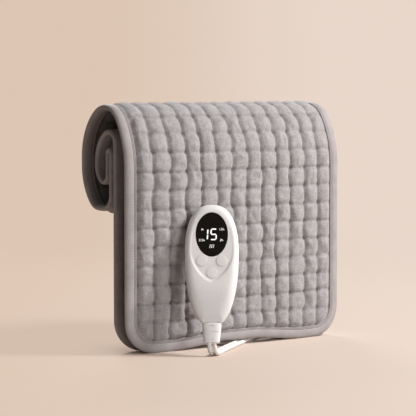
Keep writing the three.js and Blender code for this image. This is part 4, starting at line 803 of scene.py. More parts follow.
pucker_spots = np.arange(0, edge_gap.sum() + 2 * PUCKER_STEP, PUCKER_STEP)
pucker = np.interp(edge_along, pucker_spots, np.random.default_rng(31).uniform(-1, 1, len(pucker_spots)))
in_corner = np.minimum(4 * np.abs(edge[:, 2] * edge[:, 3]), 1)
gather = in_corner * np.sin(edge_along * 2 * math.pi / GATHER_PITCH)
tape_top = []
for inset, level in TAPE_SECTION:
    loose = smoothstep(inset, *LOOSE_FROM) * (1 - smoothstep(inset, *LOOSE_UNTIL))
    tape_top.append((inset, level + loose * (PUCKER_HEIGHT * pucker + GATHER_HEIGHT * gather)))
tape_round = tape_top + [(inset, -level) for inset, level in reversed(tape_top)]
tape_round += [(inset, -level) for inset, level in TAPE_SLOT] + [*reversed(TAPE_SLOT)]
tape_loops = [edge_ring(inset, level) for inset, level in tape_round]
tape_faces = []
for k in range(len(tape_loops)):
    a, b = k * edge_count, (k + 1) % len(tape_loops) * edge_count
    for m in range(edge_count):
        n = (m + 1) % edge_count
        tape_faces.append((a + m, b + m, b + n, a + n))
tape_finish = mottled(
    "binding_tape", ((0.6, 60, 3), (0.4, 700, 2)), (160, 154, 155), (178, 172, 173), rough=(0.55, 0.2),
    fuzz=(0.0002, 1500, 2), Specular_IOR_Level=0.3, Sheen_Weight=0.15, Sheen_Roughness=0.4,
)
binding = mesh_piece("binding", np.concatenate(tape_loops), tape_faces, tape_finish)
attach(binding, "pad_and_controller")
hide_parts("edge_binding")

# The stitches: short lengths of grey thread, pulled down into the tape, along both rows of lockstitch on
# each side of the pad. They are laid by nodes along loops round the sheet's edge.
STITCH_LINES = (10.5, 12.0)
STITCH_LEVEL = 2.62
STITCH_PITCH = 3.0
STITCH_LENGTH = 2.3
THREAD = 0.55
thread_finish = mottled(
    "thread", ((1, 1200, 2),), (112, 104, 102), (136, 128, 126), Roughness=0.7, Specular_IOR_Level=0.3
)
thread_loops = []
for inset in STITCH_LINES:
    thread_loops += [edge_ring(inset, level) for level in (STITCH_LEVEL, -STITCH_LEVEL)]
thread_edges = []
for k in range(0, len(thread_loops) * edge_count, edge_count):
    thread_edges += [(k + m, k + (m + 1) % edge_count) for m in range(edge_count)]
thread_mesh = bpy.data.meshes.new("stitches")
thread_mesh.from_pydata(np.concatenate(thread_loops) * MM, thread_edges, [])
stitches = link(bpy.data.objects.new("stitches", thread_mesh))


def stitch_nodes(name):
    """Nodes that lay short stitches along a mesh's edges, with the pitch, length and thread as inputs."""
    tree = bpy.data.node_groups.new(name, "GeometryNodeTree")
    tree.interface.new_socket("Geometry", in_out="INPUT", socket_type="NodeSocketGeometry")
    tree.interface.new_socket("Geometry", in_out="OUTPUT", socket_type="NodeSocketGeometry")
    for label in ("Pitch", "Length", "Thread"):
        tree.interface.new_socket(label, in_out="INPUT", socket_type="NodeSocketFloat")
    tree.interface.new_socket("Finish", in_out="INPUT", socket_type="NodeSocketMaterial")
    source = tree.nodes.new("NodeGroupInput").outputs
    start = Field(source["Geometry"])
    labels = ("Pitch", "Length", "Thread", "Finish")
    pitch, length, thread, finish = (Field(source[label]) for label in labels)
    path = start.node("GeometryNodeMeshToCurve", {}, {"Mesh": start})
    spots = path.node("GeometryNodeResampleCurve", {"mode": "LENGTH"}, {"Curve": path, "Length": pitch})
    ball = path.node("GeometryNodeMeshUVSphere", {}, {"Segments": 6, "Rings": 4, "Radius": 0.5})
    way = path.node("GeometryNodeInputTangent", {}, {})
    turn = way.node("FunctionNodeAlignRotationToVector", {"axis": "Z"}, {"Vector": way})
    size = path.node("ShaderNodeCombineXYZ", {}, {0: thread, 1: thread, 2: length})
    laid = {"Points": spots, "Instance": ball, "Rotation": turn, "Scale": size}
    stitch = path.node("GeometryNodeInstanceOnPoints", {}, laid)
    real = path.node("GeometryNodeRealizeInstances", {}, {"Geometry": stitch})
    smooth = path.node("GeometryNodeSetShadeSmooth", {}, {"Geometry": real})
    made = path.node("GeometryNodeSetMaterial", {}, {"Geometry": smooth, "Material": finish})
    tree.links.new(made.socket, tree.nodes.new("NodeGroupOutput").inputs["Geometry"])
    return tree


def grown(piece, tree, **values):
    """Runs a node tree on a piece with its inputs set, and leaves a plain mesh."""
    change = piece.modifiers.new("grow", "NODES")
    change.node_group = tree
    for item in tree.interface.items_tree:
        if item.in_out == "INPUT" and item.name in values:
            change[item.identifier] = values[item.name]
    made = plain_mesh(piece)
    piece.modifiers.clear()
    piece.data = made


stitch_sizes = {"Pitch": STITCH_PITCH * MM, "Length": STITCH_LENGTH * MM, "Thread": THREAD * MM}
grown(stitches, stitch_nodes("lockstitch"), Finish=thread_finish, **stitch_sizes)
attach(stitches, "pad_and_controller")

# The controller: a white moulded housing in two halves that meet at a fine parting line, with two screws
# from behind. A shallow shield-shaped recess in its face holds the black window and three round buttons.
# It leans back on the pad, and everything in it is laid out in its own frame.
FIT = 0.3
RELIEF_END = Vector((-76.5, -56 + PAD_SHIFT, 15))
RELIEF_LENGTH = 22
RELIEF_SOFT = 0.7
RELIEF_NECK = 12
RELIEF_COLLAR = 16
NECK_DEPTH = 6
COLLAR_LOW = 3.2
COLLAR_HIGH = 6.2
CONTROLLER_TURN = math.radians(35)
CONTROLLER_LEAN = math.radians(16)
BODY_HALF = 30
BODY_WIDEST = 78
BODY_RISE = 55
BODY_FALL = 82.4
RISE_POWER = 2.4
FALL_POWER = 2.2
FRONT_DEPTH = 12
BACK_DEPTH = 10
FRONT_INNER = 10
BACK_INNER = 8.1
WALL_SHARE = 0.94
PARTING = 0.12
TAIL_RISE = 40
OUTLINE_STEPS = 40
FLOOR_STEPS = 12
WALL_STEPS = 22
DOME_STEPS = 46
RECESS_HALF = 24.2
RECESS_RISE = 49.2
RECESS_FALL = 33
RECESS_POWER = 1.55
RECESS_EDGE = (0.93, 1.05)
FACE_LEVEL = 11.0
WINDOW_HALF = (18.0, 25.1)
WINDOW_SIDES = 96
WINDOW_CUT = (-16, -6)
DISPLAY_Z = 97.7
BUTTON_RADIUS = 6.2
BUTTON_GAP = 0.16
BUTTON_CUT = (-16, -7)
BUTTONS = {"left": (-11, 68), "right": (11, 68), "lower": (0, 54.7)}
SCREW_X = 12
SCREW_Z = 21
SCREW_TUBE = 4.2
SCREW_TUBE_END = 8.2
SCREW_BORE = 2.5
SCREW_PILOT = 1.3
BORE_CUT = (7, 14)
PILOT_CUT = (-1, 8)
EDGE_SHARP = 40
stance = Matrix.Rotation(-CONTROLLER_TURN, 4, "Z") @ Matrix.Rotation(-CONTROLLER_LEAN, 4, "X")
joint_place = RELIEF_END - stance @ Vector((0, 0, -RELIEF_LENGTH))
controller = Matrix.Translation(joint_place) @ stance


def at_controller(points):
    """Points in the controller's own frame, placed where it leans."""
    turn = np.array(controller.to_3x3())
    return np.asarray(points, float) @ turn.T + np.array(controller.translation)


def loft(rings):
    """Points and faces of one closed body through rings of points, capped at both ends, facing out."""
    points = np.concatenate(rings)
    count = len(rings[0])
    last = (len(rings) - 1) * count
    faces = [tuple(reversed(range(count)))]
    for k in range(0, last, count):
        for m in range(count):
            n = (m + 1) % count
            faces.append((k + m, k + n, k + count + n, k + count + m))
    faces.append(tuple(last + m for m in range(count)))
    volume = 0
    for face in faces:
        fan = [np.cross(points[face[m]], points[face[m + 1]]) for m in range(1, len(face) - 1)]
        volume += np.dot(points[face[0]], np.sum(fan, axis=0))
    if volume < 0:
        faces = [tuple(reversed(face)) for face in faces]
    return points, faces


def solid(name, rings, finish, place=at_controller, **look):
    """A closed body through rings of points, put in its place."""
    points, faces = loft(rings)
    return mesh_piece(name, place(points), faces, finish, **look)


def carve(piece, shapes, operation="DIFFERENCE", sharp=None):
    """Cuts closed shapes out of a piece, or joins them on, and leaves a plain mesh."""
    for shape in shapes:
        change = piece.modifiers.new("carve", "BOOLEAN")
        change.operation = operation
        change.solver = "EXACT"
        change.object = shape
    bpy.context.view_layer.update()
    piece.data = plain_mesh(piece)
    piece.modifiers.clear()
    for shape in shapes:
        bpy.data.objects.remove(shape)
    if sharp is not None:
        piece.data.set_sharp_from_angle(angle=math.radians(sharp))


def egg_outline():
    """The housing's outline about its widest level, cut off flat at the relief, as x and z."""
    first = math.acos((BODY_WIDEST / BODY_FALL) ** (FALL_POWER / 2))
    turn = np.linspace(first, math.pi / 2, OUTLINE_STEPS, endpoint=False)
    tail_x = BODY_HALF * np.sin(turn) ** (2 / FALL_POWER)
    tail_z = -BODY_FALL * np.cos(turn) ** (2 / FALL_POWER)
    turn = np.linspace(0, math.pi / 2, OUTLINE_STEPS, endpoint=False)
    cap_x = BODY_HALF * np.cos(turn) ** (2 / RISE_POWER)
    cap_z = BODY_RISE * np.sin(turn) ** (2 / RISE_POWER)
    right = np.stack([np.append(tail_x, cap_x), np.append(tail_z, cap_z)], axis=1)
    floor_x = np.linspace(-tail_x[0], tail_x[0], FLOOR_STEPS)[1:-1]
    floor = np.stack([floor_x, np.full_like(floor_x, -BODY_WIDEST)], axis=1)
    return np.concatenate([right, [(0, BODY_RISE)], right[::-1] * (-1, 1), floor])


def oval_reach(x, z, half, tall, power):
    """How far out a place lies in a full oval: 1 on its edge."""
    return ((np.abs(x) / half) ** power + (np.abs(z) / tall) ** power) ** (1 / power)


def recess_share(x, z):
    """1 inside the face's shield-shaped recess and 0 outside it, with a soft edge."""
    above = oval_reach(x, z, RECESS_HALF, RECESS_RISE, RISE_POWER)
    below = oval_reach(x, z, RECESS_HALF, RECESS_FALL, RECESS_POWER)
    return 1 - smoothstep(np.where(z > 0, above, below), *RECESS_EDGE)


def half_shell(name, side, depth, inner_depth, power, root, tail, recess):
    """One half of the housing: a domed shell with an even wall, open at the parting line."""
    outline = egg_outline()
    wall = [(1 - d**root) ** (1 / power) for d in np.linspace(0, 0.96, WALL_STEPS)]
    shares = wall + list(np.linspace(wall[-1], 0.02, DOME_STEPS)[1:])
    rings = []
    for scale, deep, cut in ((WALL_SHARE, inner_depth, 0), (1, depth, recess)):
        layer = []
        for share in shares:
            x, z = (outline * share * scale).T
            swell = (1 - share**power) ** (1 / root)
            taper = tail + (1 - tail) * smoothstep(z + BODY_WIDEST, 0, TAIL_RISE)
            full = deep * swell * taper
            level = full - recess_share(x, z) * np.maximum(full - (depth - cut), 0) * (cut > 0)
            y = side * (PARTING + level * (1 - PARTING / depth))
            layer.append(np.stack([x, y, z + BODY_WIDEST], axis=1))
        rings += layer[::-1] if scale < 1 else layer
    return solid(name, rings, white_plastic)


def column(shape, x, z, stations, sides=48):
    """Rings of a turned body along the controller's depth, by half sizes and each ring's share and depth."""
    turn = np.linspace(0, 2 * math.pi, sides, endpoint=False)
    oval = np.stack([shape[0] * np.cos(turn), shape[1] * np.sin(turn)], axis=1)
    rings = []
    for share, y in stations:
        ring = oval * share + (x, z)
        rings.append(np.stack([ring[:, 0], np.full(sides, float(y)), ring[:, 1]], axis=1))
    return rings


def rod(radius, x, z, y0, y1):
    """A plain round rod along the controller's depth, to cut or join."""
    return solid("rod", column((radius, radius), x, z, ((1, y0), (1, y1)), 32), white_plastic)


def soft_ring(width, depth, z, softness=RELIEF_SOFT, sides=64):
    """A soft-cornered ring of points across the z axis."""
    turn = np.linspace(0, 2 * math.pi, sides, endpoint=False)
    x, y = np.cos(turn), np.sin(turn)
    x, y = np.sign(x) * np.abs(x) ** softness, np.sign(y) * np.abs(y) ** softness
    return np.stack([x * width / 2, y * depth / 2, np.full(sides, float(z))], axis=1)


def neck_rings(room, start):
    """The relief's neck and the collar behind it, which the housing's halves hold, with room round them."""
    neck = RELIEF_NECK + 2 * room, NECK_DEPTH + 2 * room
    collar = RELIEF_COLLAR + 2 * room, NECK_DEPTH + 2 * room
    under, over = COLLAR_LOW - room, COLLAR_HIGH + room
    stations = ((neck, start), (neck, under), (collar, under), (collar, over))
    return [soft_ring(*size, z) for size, z in stations]


def neck_seat():
    """The shape cut out of the housing for the relief's neck and collar."""
    return solid("neck_seat", neck_rings(FIT, -2 * FIT - 1), white_plastic)


white_plastic = mottled(
    "white_plastic", ((0.5, 35, 3), (0.5, 260, 3)), (243, 242, 243), (248, 247, 248), rough=(0.4, 0.12),
    fuzz=(0.00004, 2200, 2), IOR=1.47,
)
front_shell = half_shell(
    "front_shell", -1, FRONT_DEPTH, FRONT_INNER, power=10, root=2.4, tail=0.64,
    recess=FRONT_DEPTH - FACE_LEVEL,
)
window_rings = column(WINDOW_HALF, 0, DISPLAY_Z, [(1, y) for y in WINDOW_CUT], WINDOW_SIDES)
openings = [solid("window_opening", window_rings, white_plastic)]
openings += [rod(BUTTON_RADIUS + BUTTON_GAP, x, z, *BUTTON_CUT) for x, z in BUTTONS.values()]
carve(front_shell, [*openings, neck_seat()], sharp=EDGE_SHARP)
back_shell = half_shell("back_shell", 1, BACK_DEPTH, BACK_INNER, power=8, root=2.0, tail=0.9, recess=0)
screw_sides = (-SCREW_X, SCREW_X)
carve(back_shell, [rod(SCREW_TUBE, x, SCREW_Z, FIT, SCREW_TUBE_END) for x in screw_sides], "UNION")
screw_holes = [rod(SCREW_BORE, x, SCREW_Z, *BORE_CUT) for x in screw_sides]
screw_holes += [rod(SCREW_PILOT, x, SCREW_Z, *PILOT_CUT) for x in screw_sides]
carve(back_shell, [*screw_holes, neck_seat()], sharp=EDGE_SHARP)
for shell, node in ((front_shell, "upper_shell"), (back_shell, "lower_shell")):
    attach(shell, "pad_and_controller")
    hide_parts(node)

# The window: a gloss black oval let into the face, very slightly domed. Plain digits and small timer marks
# are lit in it, with three rising heat waves under them. Here they are thin lit plates on its front.
LENS_HALF = (17.8, 24.9)
LENS_DOME = 0.25
LENS_PROUD = 0.1
LENS_EDGE = ((1, 1.5), (1, 0.35), (0.985, 0.1))
LENS_RINGS = 24
MARK_LIFT = 0.03
MARK_THICK = 0.06
SIGN_SLANT = 0.06
SIGN_GAP = 0.1
SEGMENTS = {"0": "abcdef", "1": "bc", "2": "abged", "5": "afgcd", "h": "fegc"}
DIGITS = (("1", -7.6), ("5", 2.0))
DIGIT_SIZE = (6.0, 11.8, 1.5)
TIMER_SIZE = (1.15, 2.4, 0.42)
TIMER_STEP = 1.95
TIMER_MARKS = (("1h", -10.9, 103.4), ("1.5h", 10.7, 103.4), ("0.5h", -10.9, 91.2), ("2h", 10.9, 91.2))
WAVE_STEP = 1.9
WAVE_HALF = 2.0
WAVE_STROKE = 0.55
WAVE_SWING = 0.4
WAVE_TURN = 3.2
WAVE_POINTS = 9
WAVE_Z = 84.4
lens_front = FACE_LEVEL + LENS_PROUD
black_gloss = mottled(
    "black_gloss", ((1, 120, 3),), (18, 15, 14), (24, 20, 19), rough=(0.12, 0.1), Specular_IOR_Level=0.08
)
lens_stations = [(share, depth - lens_front) for share, depth in LENS_EDGE]
for share in np.linspace(0.96, 0.02, LENS_RINGS):
    lens_stations.append((share, -lens_front - LENS_DOME * (1 - share**2)))
lens_rings = column(LENS_HALF, 0, DISPLAY_Z, lens_stations, WINDOW_SIDES)
lens = solid("window", lens_rings, black_gloss, sharp=EDGE_SHARP)
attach(lens, "pad_and_controller")
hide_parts("display_lens")


def lens_level(x, z):
    """The depth of the window's domed front at a place on it."""
    share = (x / LENS_HALF[0]) ** 2 + ((z - DISPLAY_Z) / LENS_HALF[1]) ** 2
    return lens_front + LENS_DOME * (1 - np.minimum(share, 1))


def mark_plates(name, outlines):
    """Thin lit plates on the window, one for each outline in x and z."""
    points, faces = [], []
    for outline in outlines:
        x, z = np.array(outline, float).T
        level = lens_level(x, z) + MARK_LIFT
        plate, sides = loft([np.stack([x, deep - level, z], axis=1) for deep in (0, MARK_THICK)])
        base = sum(len(p) for p in points)
        points.append(at_controller(plate))
        faces += [tuple(base + k for k in face) for face in sides]
    made = mesh_piece(name, np.concatenate(points), faces, lit, smooth=False)
    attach(made, "pad_and_controller")


def sign_outlines(sign, x, z, wide, tall, stroke):
    """The strokes of a lit sign as pointed bars, about its middle."""
    w, h, t = wide / 2, tall / 2, stroke / 2
    ends = {
        "a": ((-w, h), (w, h)), "b": ((w, h), (w, 0)), "c": ((w, 0), (w, -h)), "d": ((-w, -h), (w, -h)),
        "e": ((-w, 0), (-w, -h)), "f": ((-w, h), (-w, 0)), "g": ((-w, 0), (w, 0)),
    }
    bars = []
    for letter in SEGMENTS[sign]:
        first, last = np.array(ends[letter], float)
        along = (last - first) / np.hypot(*(last - first))
        aside = np.array([-along[1], along[0]])
        a, b = first + along * stroke * SIGN_GAP, last - along * stroke * SIGN_GAP
        bar = [a, a + (along - aside) * t, b - (along + aside) * t, b]
        bar += [b - (along - aside) * t, a + (along + aside) * t]
        bars.append([(x + p[0] + SIGN_SLANT * p[1], z + p[1]) for p in bar])
    return bars


def timer_outlines(text, x, z):
    """A short row of small signs, such as an hour count, about its middle."""
    wide, tall, stroke = TIMER_SIZE
    steps = [TIMER_STEP * (0.5 if sign == "." else 1) for sign in text]
    pen = x - sum(steps) / 2
    bars = []
    for sign, step in zip(text, steps):
        middle = pen + step / 2
        pen += step
        if sign == ".":
            corners = ((-1, -1), (1, -1), (1, 1), (-1, 1))
            bars.append([(middle + a * stroke / 2, z - tall / 2 + b * stroke / 2) for a, b in corners])
        else:
            bars += sign_outlines(sign, middle, z, wide, tall, stroke)
    return bars


def wave_outline(x):
    """One rising heat wave about a place on the window."""
    line = []
    for t in np.linspace(-1, 1, WAVE_POINTS):
        line.append((x + WAVE_SWING * math.sin(WAVE_TURN * t), WAVE_Z + WAVE_HALF * t))
    left = [(a - WAVE_STROKE / 2, b) for a, b in line]
    return left + [(a + WAVE_STROKE / 2, b) for a, b in reversed(line)]


lit_grain = (400, 2)
lit = mottled(
    "lit_digits", ((1, *lit_grain),), (215, 213, 212), (225, 223, 222), Roughness=0.6,
    Emission_Strength=0.75,
)
lit_glow = coordinates(lit).noise(*lit_grain).between(*TONE_SPREAD)
feed(lit, Emission_Color=lit_glow.tint((236, 234, 233), (245, 243, 242)))
digit_bars = []
for digit, x in DIGITS:
    digit_bars += sign_outlines(digit, x, DISPLAY_Z, *DIGIT_SIZE)
timer_bars = []
for text, x, z in TIMER_MARKS:
    timer_bars += timer_outlines(text, x, z)
mark_plates("lit_digits", digit_bars)
mark_plates("timer_marks", timer_bars)
mark_plates("heat_waves", [wave_outline(WAVE_STEP * k) for k in (-1, 0, 1)])

# The buttons: three low white domes that stand a little proud of the recess. Each has a flange behind the
# face that keeps it in, and a stem down to its switch.
BUTTON_PROUD = 0.6
BUTTON_TOP = FACE_LEVEL + BUTTON_PROUD
STEM_RADIUS = 2
STEM_END = 6.4
FLANGE_TOP = 9.7
FLANGE = 0.7
CAP_ROUND = 0.55
CAP_DROP = 0.4
CAP_DOME = 0.15
flange_radius = BUTTON_RADIUS + FLANGE
cap_flat = BUTTON_RADIUS - CAP_ROUND
cap_stations = [
    (STEM_RADIUS, -STEM_END), (STEM_RADIUS, FLANGE - FLANGE_TOP), (flange_radius, FLANGE - FLANGE_TOP),
    (flange_radius, -FLANGE_TOP), (BUTTON_RADIUS, -FLANGE_TOP), (BUTTON_RADIUS, CAP_ROUND - BUTTON_TOP),
]
for t in np.linspace(0.1, 1, 9) * math.pi / 2:
    round_edge = cap_flat + CAP_ROUND * math.cos(t)
    cap_stations.append((round_edge, CAP_ROUND - BUTTON_TOP - CAP_DROP * math.sin(t)))
for share in np.linspace(0.85, 0.03, 10):
    cap_stations.append((share * cap_flat, -BUTTON_TOP + CAP_DOME * share**2))
for name, (x, z) in BUTTONS.items():
    cap = solid(name + "_cap", column((1, 1), x, z, cap_stations), white_plastic, sharp=50)
    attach(cap, name + "_button_body")
    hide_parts(name + "_button")

# The strain relief: a tapering white grip moulded round both leads below the housing, with short slots
# staggered across it so that it bends. Its neck and collar are held between the housing's halves.
RELIEF_TOP = (21.6, 10.6)
RELIEF_FOOT = (17.7, 8.6)
TOP_ROUND = 1.2
TOP_END = 1.5
FOOT_ROUND = 1.1
RELIEF_SLOTS = (
    (-0.16, -2.2, 7.6), (-0.46, -7.6, 1.4), (-0.62, 2.6, 7.4), (-0.86, -1.4, 0.9), (-0.86, 2.6, 7.2),
)
SLOT_HALF = 0.5
SLOT_DEPTHS = (3.4, 8)


def box_rings(low, high):
    """Two rings that make a plain box between two corners."""
    (x0, y0, z0), (x1, y1, z1) = low, high
    return [np.array([(x0, y0, z), (x1, y0, z), (x1, y1, z), (x0, y1, z)]) for z in (z0, z1)]


relief_rings = neck_rings(0, -FIT)[::-1]
for t in np.linspace(0, 1, 8) * math.pi / 2:
    ease = 2 * TOP_ROUND * (1 - math.sin(t))
    z = -FIT - TOP_ROUND * (1 - math.cos(t))
    relief_rings.append(soft_ring(RELIEF_TOP[0] - ease, RELIEF_TOP[1] - ease, z))
for t in np.linspace(0.1, 1, 16):
    width, depth = (a + (b - a) * t for a, b in zip(RELIEF_TOP, RELIEF_FOOT))
    relief_rings.append(soft_ring(width, depth, -TOP_END - t * (RELIEF_LENGTH - TOP_END - FOOT_ROUND)))
for t in np.linspace(0.2, 1, 6) * math.pi / 2:
    ease = 2 * FOOT_ROUND * (1 - math.cos(t))
    z = FOOT_ROUND - RELIEF_LENGTH - FOOT_ROUND * math.sin(t)
    relief_rings.append(soft_ring(RELIEF_FOOT[0] - ease, RELIEF_FOOT[1] - ease, z))
relief = solid("relief", relief_rings, white_plastic)
slot_shapes = []
for share, x0, x1 in RELIEF_SLOTS:
    middle = share * RELIEF_LENGTH
    for face in (-1, 1):
        a, b = sorted((face * x0, face * x1))
        near, far = sorted(face * y for y in SLOT_DEPTHS)
        slot_rings = box_rings((a, near, middle - SLOT_HALF), (b, far, middle + SLOT_HALF))
        slot_shapes.append(solid("slot_shape", slot_rings, white_plastic))
carve(relief, slot_shapes, sharp=EDGE_SHARP)
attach(relief, "pad_and_controller")
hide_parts("strain_relief")

# Inside the housing: the display block, the circuit board with its switches and other parts, the screws and
# the leads' inner ends. They keep the model's own shapes and only take their finishes here: each has its
# darker and lighter tone, its roughness, whether it is metal, and the nodes that it goes on.
switches = [f"{side}_switch" for side in BUTTONS]
plungers = [f"{side}_switch_plunger" for side in BUTTONS]
screws = ["board_screw_1", "board_screw_2", "housing_screw_1", "housing_screw_2"]
moulded = ["led_display", "terminal_block", "triac"]
INNER_FINISHES = {
    "board_laminate": ((38, 84, 56), (50, 100, 68), 0.45, 0.0, ["circuit_board"]),
    "dark_plastic": ((26, 26, 27), (38, 38, 39), 0.5, 0.0, [*moulded, *switches]),
    "component_casing": ((176, 128, 62), (196, 150, 84), 0.4, 0.0, ["dropper_capacitor", "fuse"]),
    "plain_steel": ((150, 150, 149), (176, 176, 175), 0.3, 1.0, [*plungers, *screws]),
    "lead_core": ((214, 208, 202), (228, 223, 218), 0.5, 0.0, ["mains_inner_lead", "pad_inner_lead"]),
}
for name, (dark, light, rough, metal, nodes) in INNER_FINISHES.items():
    inner = mottled(name, ((1, 350, 3),), dark, light, rough=(rough, 0.15), Metallic=metal)
    for node in nodes:
        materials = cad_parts[node].data.materials
        materials.clear()
        materials.append(inner)

# The leads: two round white mains cords with soft matt plastic sheaths. Both leave the controller's
# relief side by side, bend down onto the floor and run back under the raised edges of both panels.
# Each has its spare length wound into a tied coil behind the pad, then ends in the plug or the pad.
CORD_DIAMETER = 5
CORD_SPACING = 5.8
CORD_BEND = 9
CORD_ROUNDNESS = 4
BEND_SHARES = (0, 0.25, 0.5, 0.75, 1)
ROUTE_STEPS = 5
LANE_SPACING = 5.6
LANE_MIDWAY = 0.55
LANE_STRAIGHT = 8
COIL_PITCH = 5.6
COIL_LOW = 1.3 + CORD_DIAMETER / 2
COIL_HIGH = COIL_LOW + COIL_PITCH
COIL_CLIMB = 0.22
COIL_STEPS = 36
ON_FLOOR = CORD_DIAMETER / 2 + FIT
relief_down = stance @ Vector((0, 0, -1))
under_front = Vector((ARCH_FRONT_X, PAD_SHIFT, 0))


def exit_of(side):
    return controller @ Vector((side * CORD_SPACING / 2, 0, -RELIEF_LENGTH - FIT))


lane = under_front - exit_of(0)
lane.z = 0
lane.normalize()
lane_right = Vector((lane.y, -lane.x, 0))
rear_ahead = REAR_PANEL_Y / lane.y


def lane_point(side, ahead, z):
    place = under_front + lane * ahead + lane_right * (side * LANE_SPACING / 2)
    return Vector((place.x, place.y, z))


def lane_route(side):
    """From inside the relief round its exit bend, along the floor and under both panels."""
    start = exit_of(side)
    angle = relief_down.angle(lane)
    inward = (lane - relief_down * lane.dot(relief_down)).normalized()
    first = start + relief_down * 2 * FIT
    route = [start - relief_down * CORD_DIAMETER / 2, start]
    for share in BEND_SHARES:
        turn = angle * share
        bend = relief_down * math.sin(turn) + inward * (1 - math.cos(turn))
        route.append(first + bend * CORD_BEND)
    span = (under_front - start).length
    for ahead in (-LANE_MIDWAY * span, -LANE_STRAIGHT, rear_ahead / 2, rear_ahead):
        route.append(lane_point(side, ahead, ON_FLOOR))
    return route


def through(points):
    """A smooth line through points, with the same number of steps between each two."""
    line = []
    for k in range(len(points) - 1):
        p1, p2 = points[k], points[k + 1]
        p0 = points[k - 1] if k else 2 * p1 - p2
        p3 = points[k + 2] if k + 2 < len(points) else 2 * p2 - p1
        t0, t1, t2 = (max((b - a).length, 1e-4) ** 0.5 for a, b in ((p0, p1), (p1, p2), (p2, p3)))
        leave = ((p1 - p0) / t0 - (p2 - p0) / (t0 + t1) + (p2 - p1) / t1) * t1
        enter = ((p2 - p1) / t1 - (p3 - p1) / (t1 + t2) + (p3 - p2) / t2) * t1
        for step in range(ROUTE_STEPS):
            t = step / ROUTE_STEPS
            rise = t * t * (3 - 2 * t)
            line.append(p1 * (1 - rise) + p2 * rise + leave * t * (1 - t) ** 2 - enter * t * t * (1 - t))
    return line


def coil_line(centre, radius, loops, start):
    """A two-layer coil, inwards on the floor and outwards on top, with a short straight at each end."""
    turns = loops + ((math.pi - start) % (2 * math.pi)) / (2 * math.pi)
    count = round(turns * COIL_STEPS)
    line = []
    for k in range(count + 1):
        t = turns * k / count
        angle = start + 2 * math.pi * t
        r = radius - COIL_PITCH * min(t, turns - t)
        share = min(max((t - turns / 2 + COIL_CLIMB) / (2 * COIL_CLIMB), 0), 1)
        z = COIL_LOW + COIL_PITCH * share * share * (3 - 2 * share)
        line.append(Vector((centre.x + r * math.cos(angle), centre.y + r * math.sin(angle), z)))
    into = Vector((-math.sin(start), math.cos(start), 0))
    head = line[0] - into * CORD_DIAMETER
    tail = line[-1] - Vector((0, CORD_DIAMETER, 0))
    return [head, *line, tail], turns


def line_length(line):
    return sum((b - a).length for a, b in zip(line, line[1:])) * MM


sheath = mottled(
    "cord_sheath", ((1, 420, 3),), (240, 236, 233), (247, 244, 241), fuzz=(0.00008, 1600, 2), IOR=1.46
)
feed(sheath, Roughness=0.42 + 0.12 * coordinates(sheath).noise(90))

MAINS_COIL_RADIUS = 39.8
MAINS_COIL_LOOPS = 8
MAINS_COIL_AHEAD = 24
TAIL_STRAIGHT = 1
TAIL_BEND = 22
TAIL_STEPS = 8
PLUG_HEIGHT = 17
mains_start = math.atan2(lane_right.y, lane_right.x)
mains_inlet = lane_point(-1, rear_ahead + MAINS_COIL_AHEAD, COIL_LOW)
mains_centre = mains_inlet - lane_right * MAINS_COIL_RADIUS
mains_coil, mains_turns = coil_line(mains_centre, MAINS_COIL_RADIUS, MAINS_COIL_LOOPS, mains_start)
tail_start = mains_coil[-1]
tail_line = []
for share in np.linspace(0, 1, TAIL_STEPS + 1):
    turn = math.radians(90) * share
    drop = COIL_HIGH + (PLUG_HEIGHT / 2 - COIL_HIGH) * share
    side = TAIL_BEND * (1 - math.cos(turn))
    ahead = FIT + TAIL_STRAIGHT + TAIL_BEND * math.sin(turn)
    tail_line.append(Vector((tail_start.x - side, tail_start.y - ahead, drop)))
plug_entry = tail_line[-1] - Vector((CORD_DIAMETER, 0, 0))
mains_line = through([*lane_route(-1), mains_coil[0]]) + mains_coil + tail_line
mains_line.append(plug_entry - Vector((CORD_DIAMETER, 0, 0)))
mains_lead = round_cord("mains_lead", mains_line, CORD_DIAMETER, CORD_ROUNDNESS, sheath)
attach(mains_lead, "pad_and_controller")
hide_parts("mains_lead_run", "mains_lead_coil", "mains_lead_tail")

PAD_COIL_RADIUS = 31
PAD_COIL_LOOPS = 2
PAD_LEAD_AHEAD = 15
PAD_LEAD_BEND = 22
GLAND_X = 76
GLAND_PLATE = 2.4
GLAND_BOOT = 18
GLAND_LEAN = 1.33
turn_start = lane_point(1, rear_ahead + PAD_LEAD_AHEAD, ON_FLOOR)
lane_angle = math.atan2(lane.y, lane.x)
pad_turn = []
for share in BEND_SHARES:
    angle = lane_angle * (1 - share)
    aside = PAD_LEAD_BEND * (math.sin(lane_angle) - math.sin(angle))
    ahead = PAD_LEAD_BEND * (math.cos(angle) - math.cos(lane_angle))
    pad_turn.append(turn_start + Vector((aside, ahead, 0)))
pad_lane_y = pad_turn[-1].y
pad_centre = Vector((GLAND_X + PAD_COIL_RADIUS, pad_lane_y + PAD_COIL_RADIUS, 0))
pad_coil, pad_turns = coil_line(pad_centre, PAD_COIL_RADIUS, PAD_COIL_LOOPS, -math.pi / 2)
gland_face = PAD_SHIFT + REAR_PANEL_Y + TAPE_LEVEL + FIT + GLAND_LEAN
boot_end = gland_face + GLAND_PLATE + GLAND_BOOT
pad_inlet = Vector((GLAND_X + CORD_DIAMETER, pad_lane_y, ON_FLOOR))
pad_line = through([*lane_route(1), *pad_turn, pad_inlet, pad_coil[0]]) + pad_coil
pad_line.append(Vector((GLAND_X, boot_end - CORD_DIAMETER, COIL_HIGH)))
pad_lead = round_cord("pad_lead", pad_line, CORD_DIAMETER, CORD_ROUNDNESS, sheath)
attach(pad_lead, "pad_and_controller")
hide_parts("pad_lead_run", "pad_lead_coil", "pad_lead_tail")

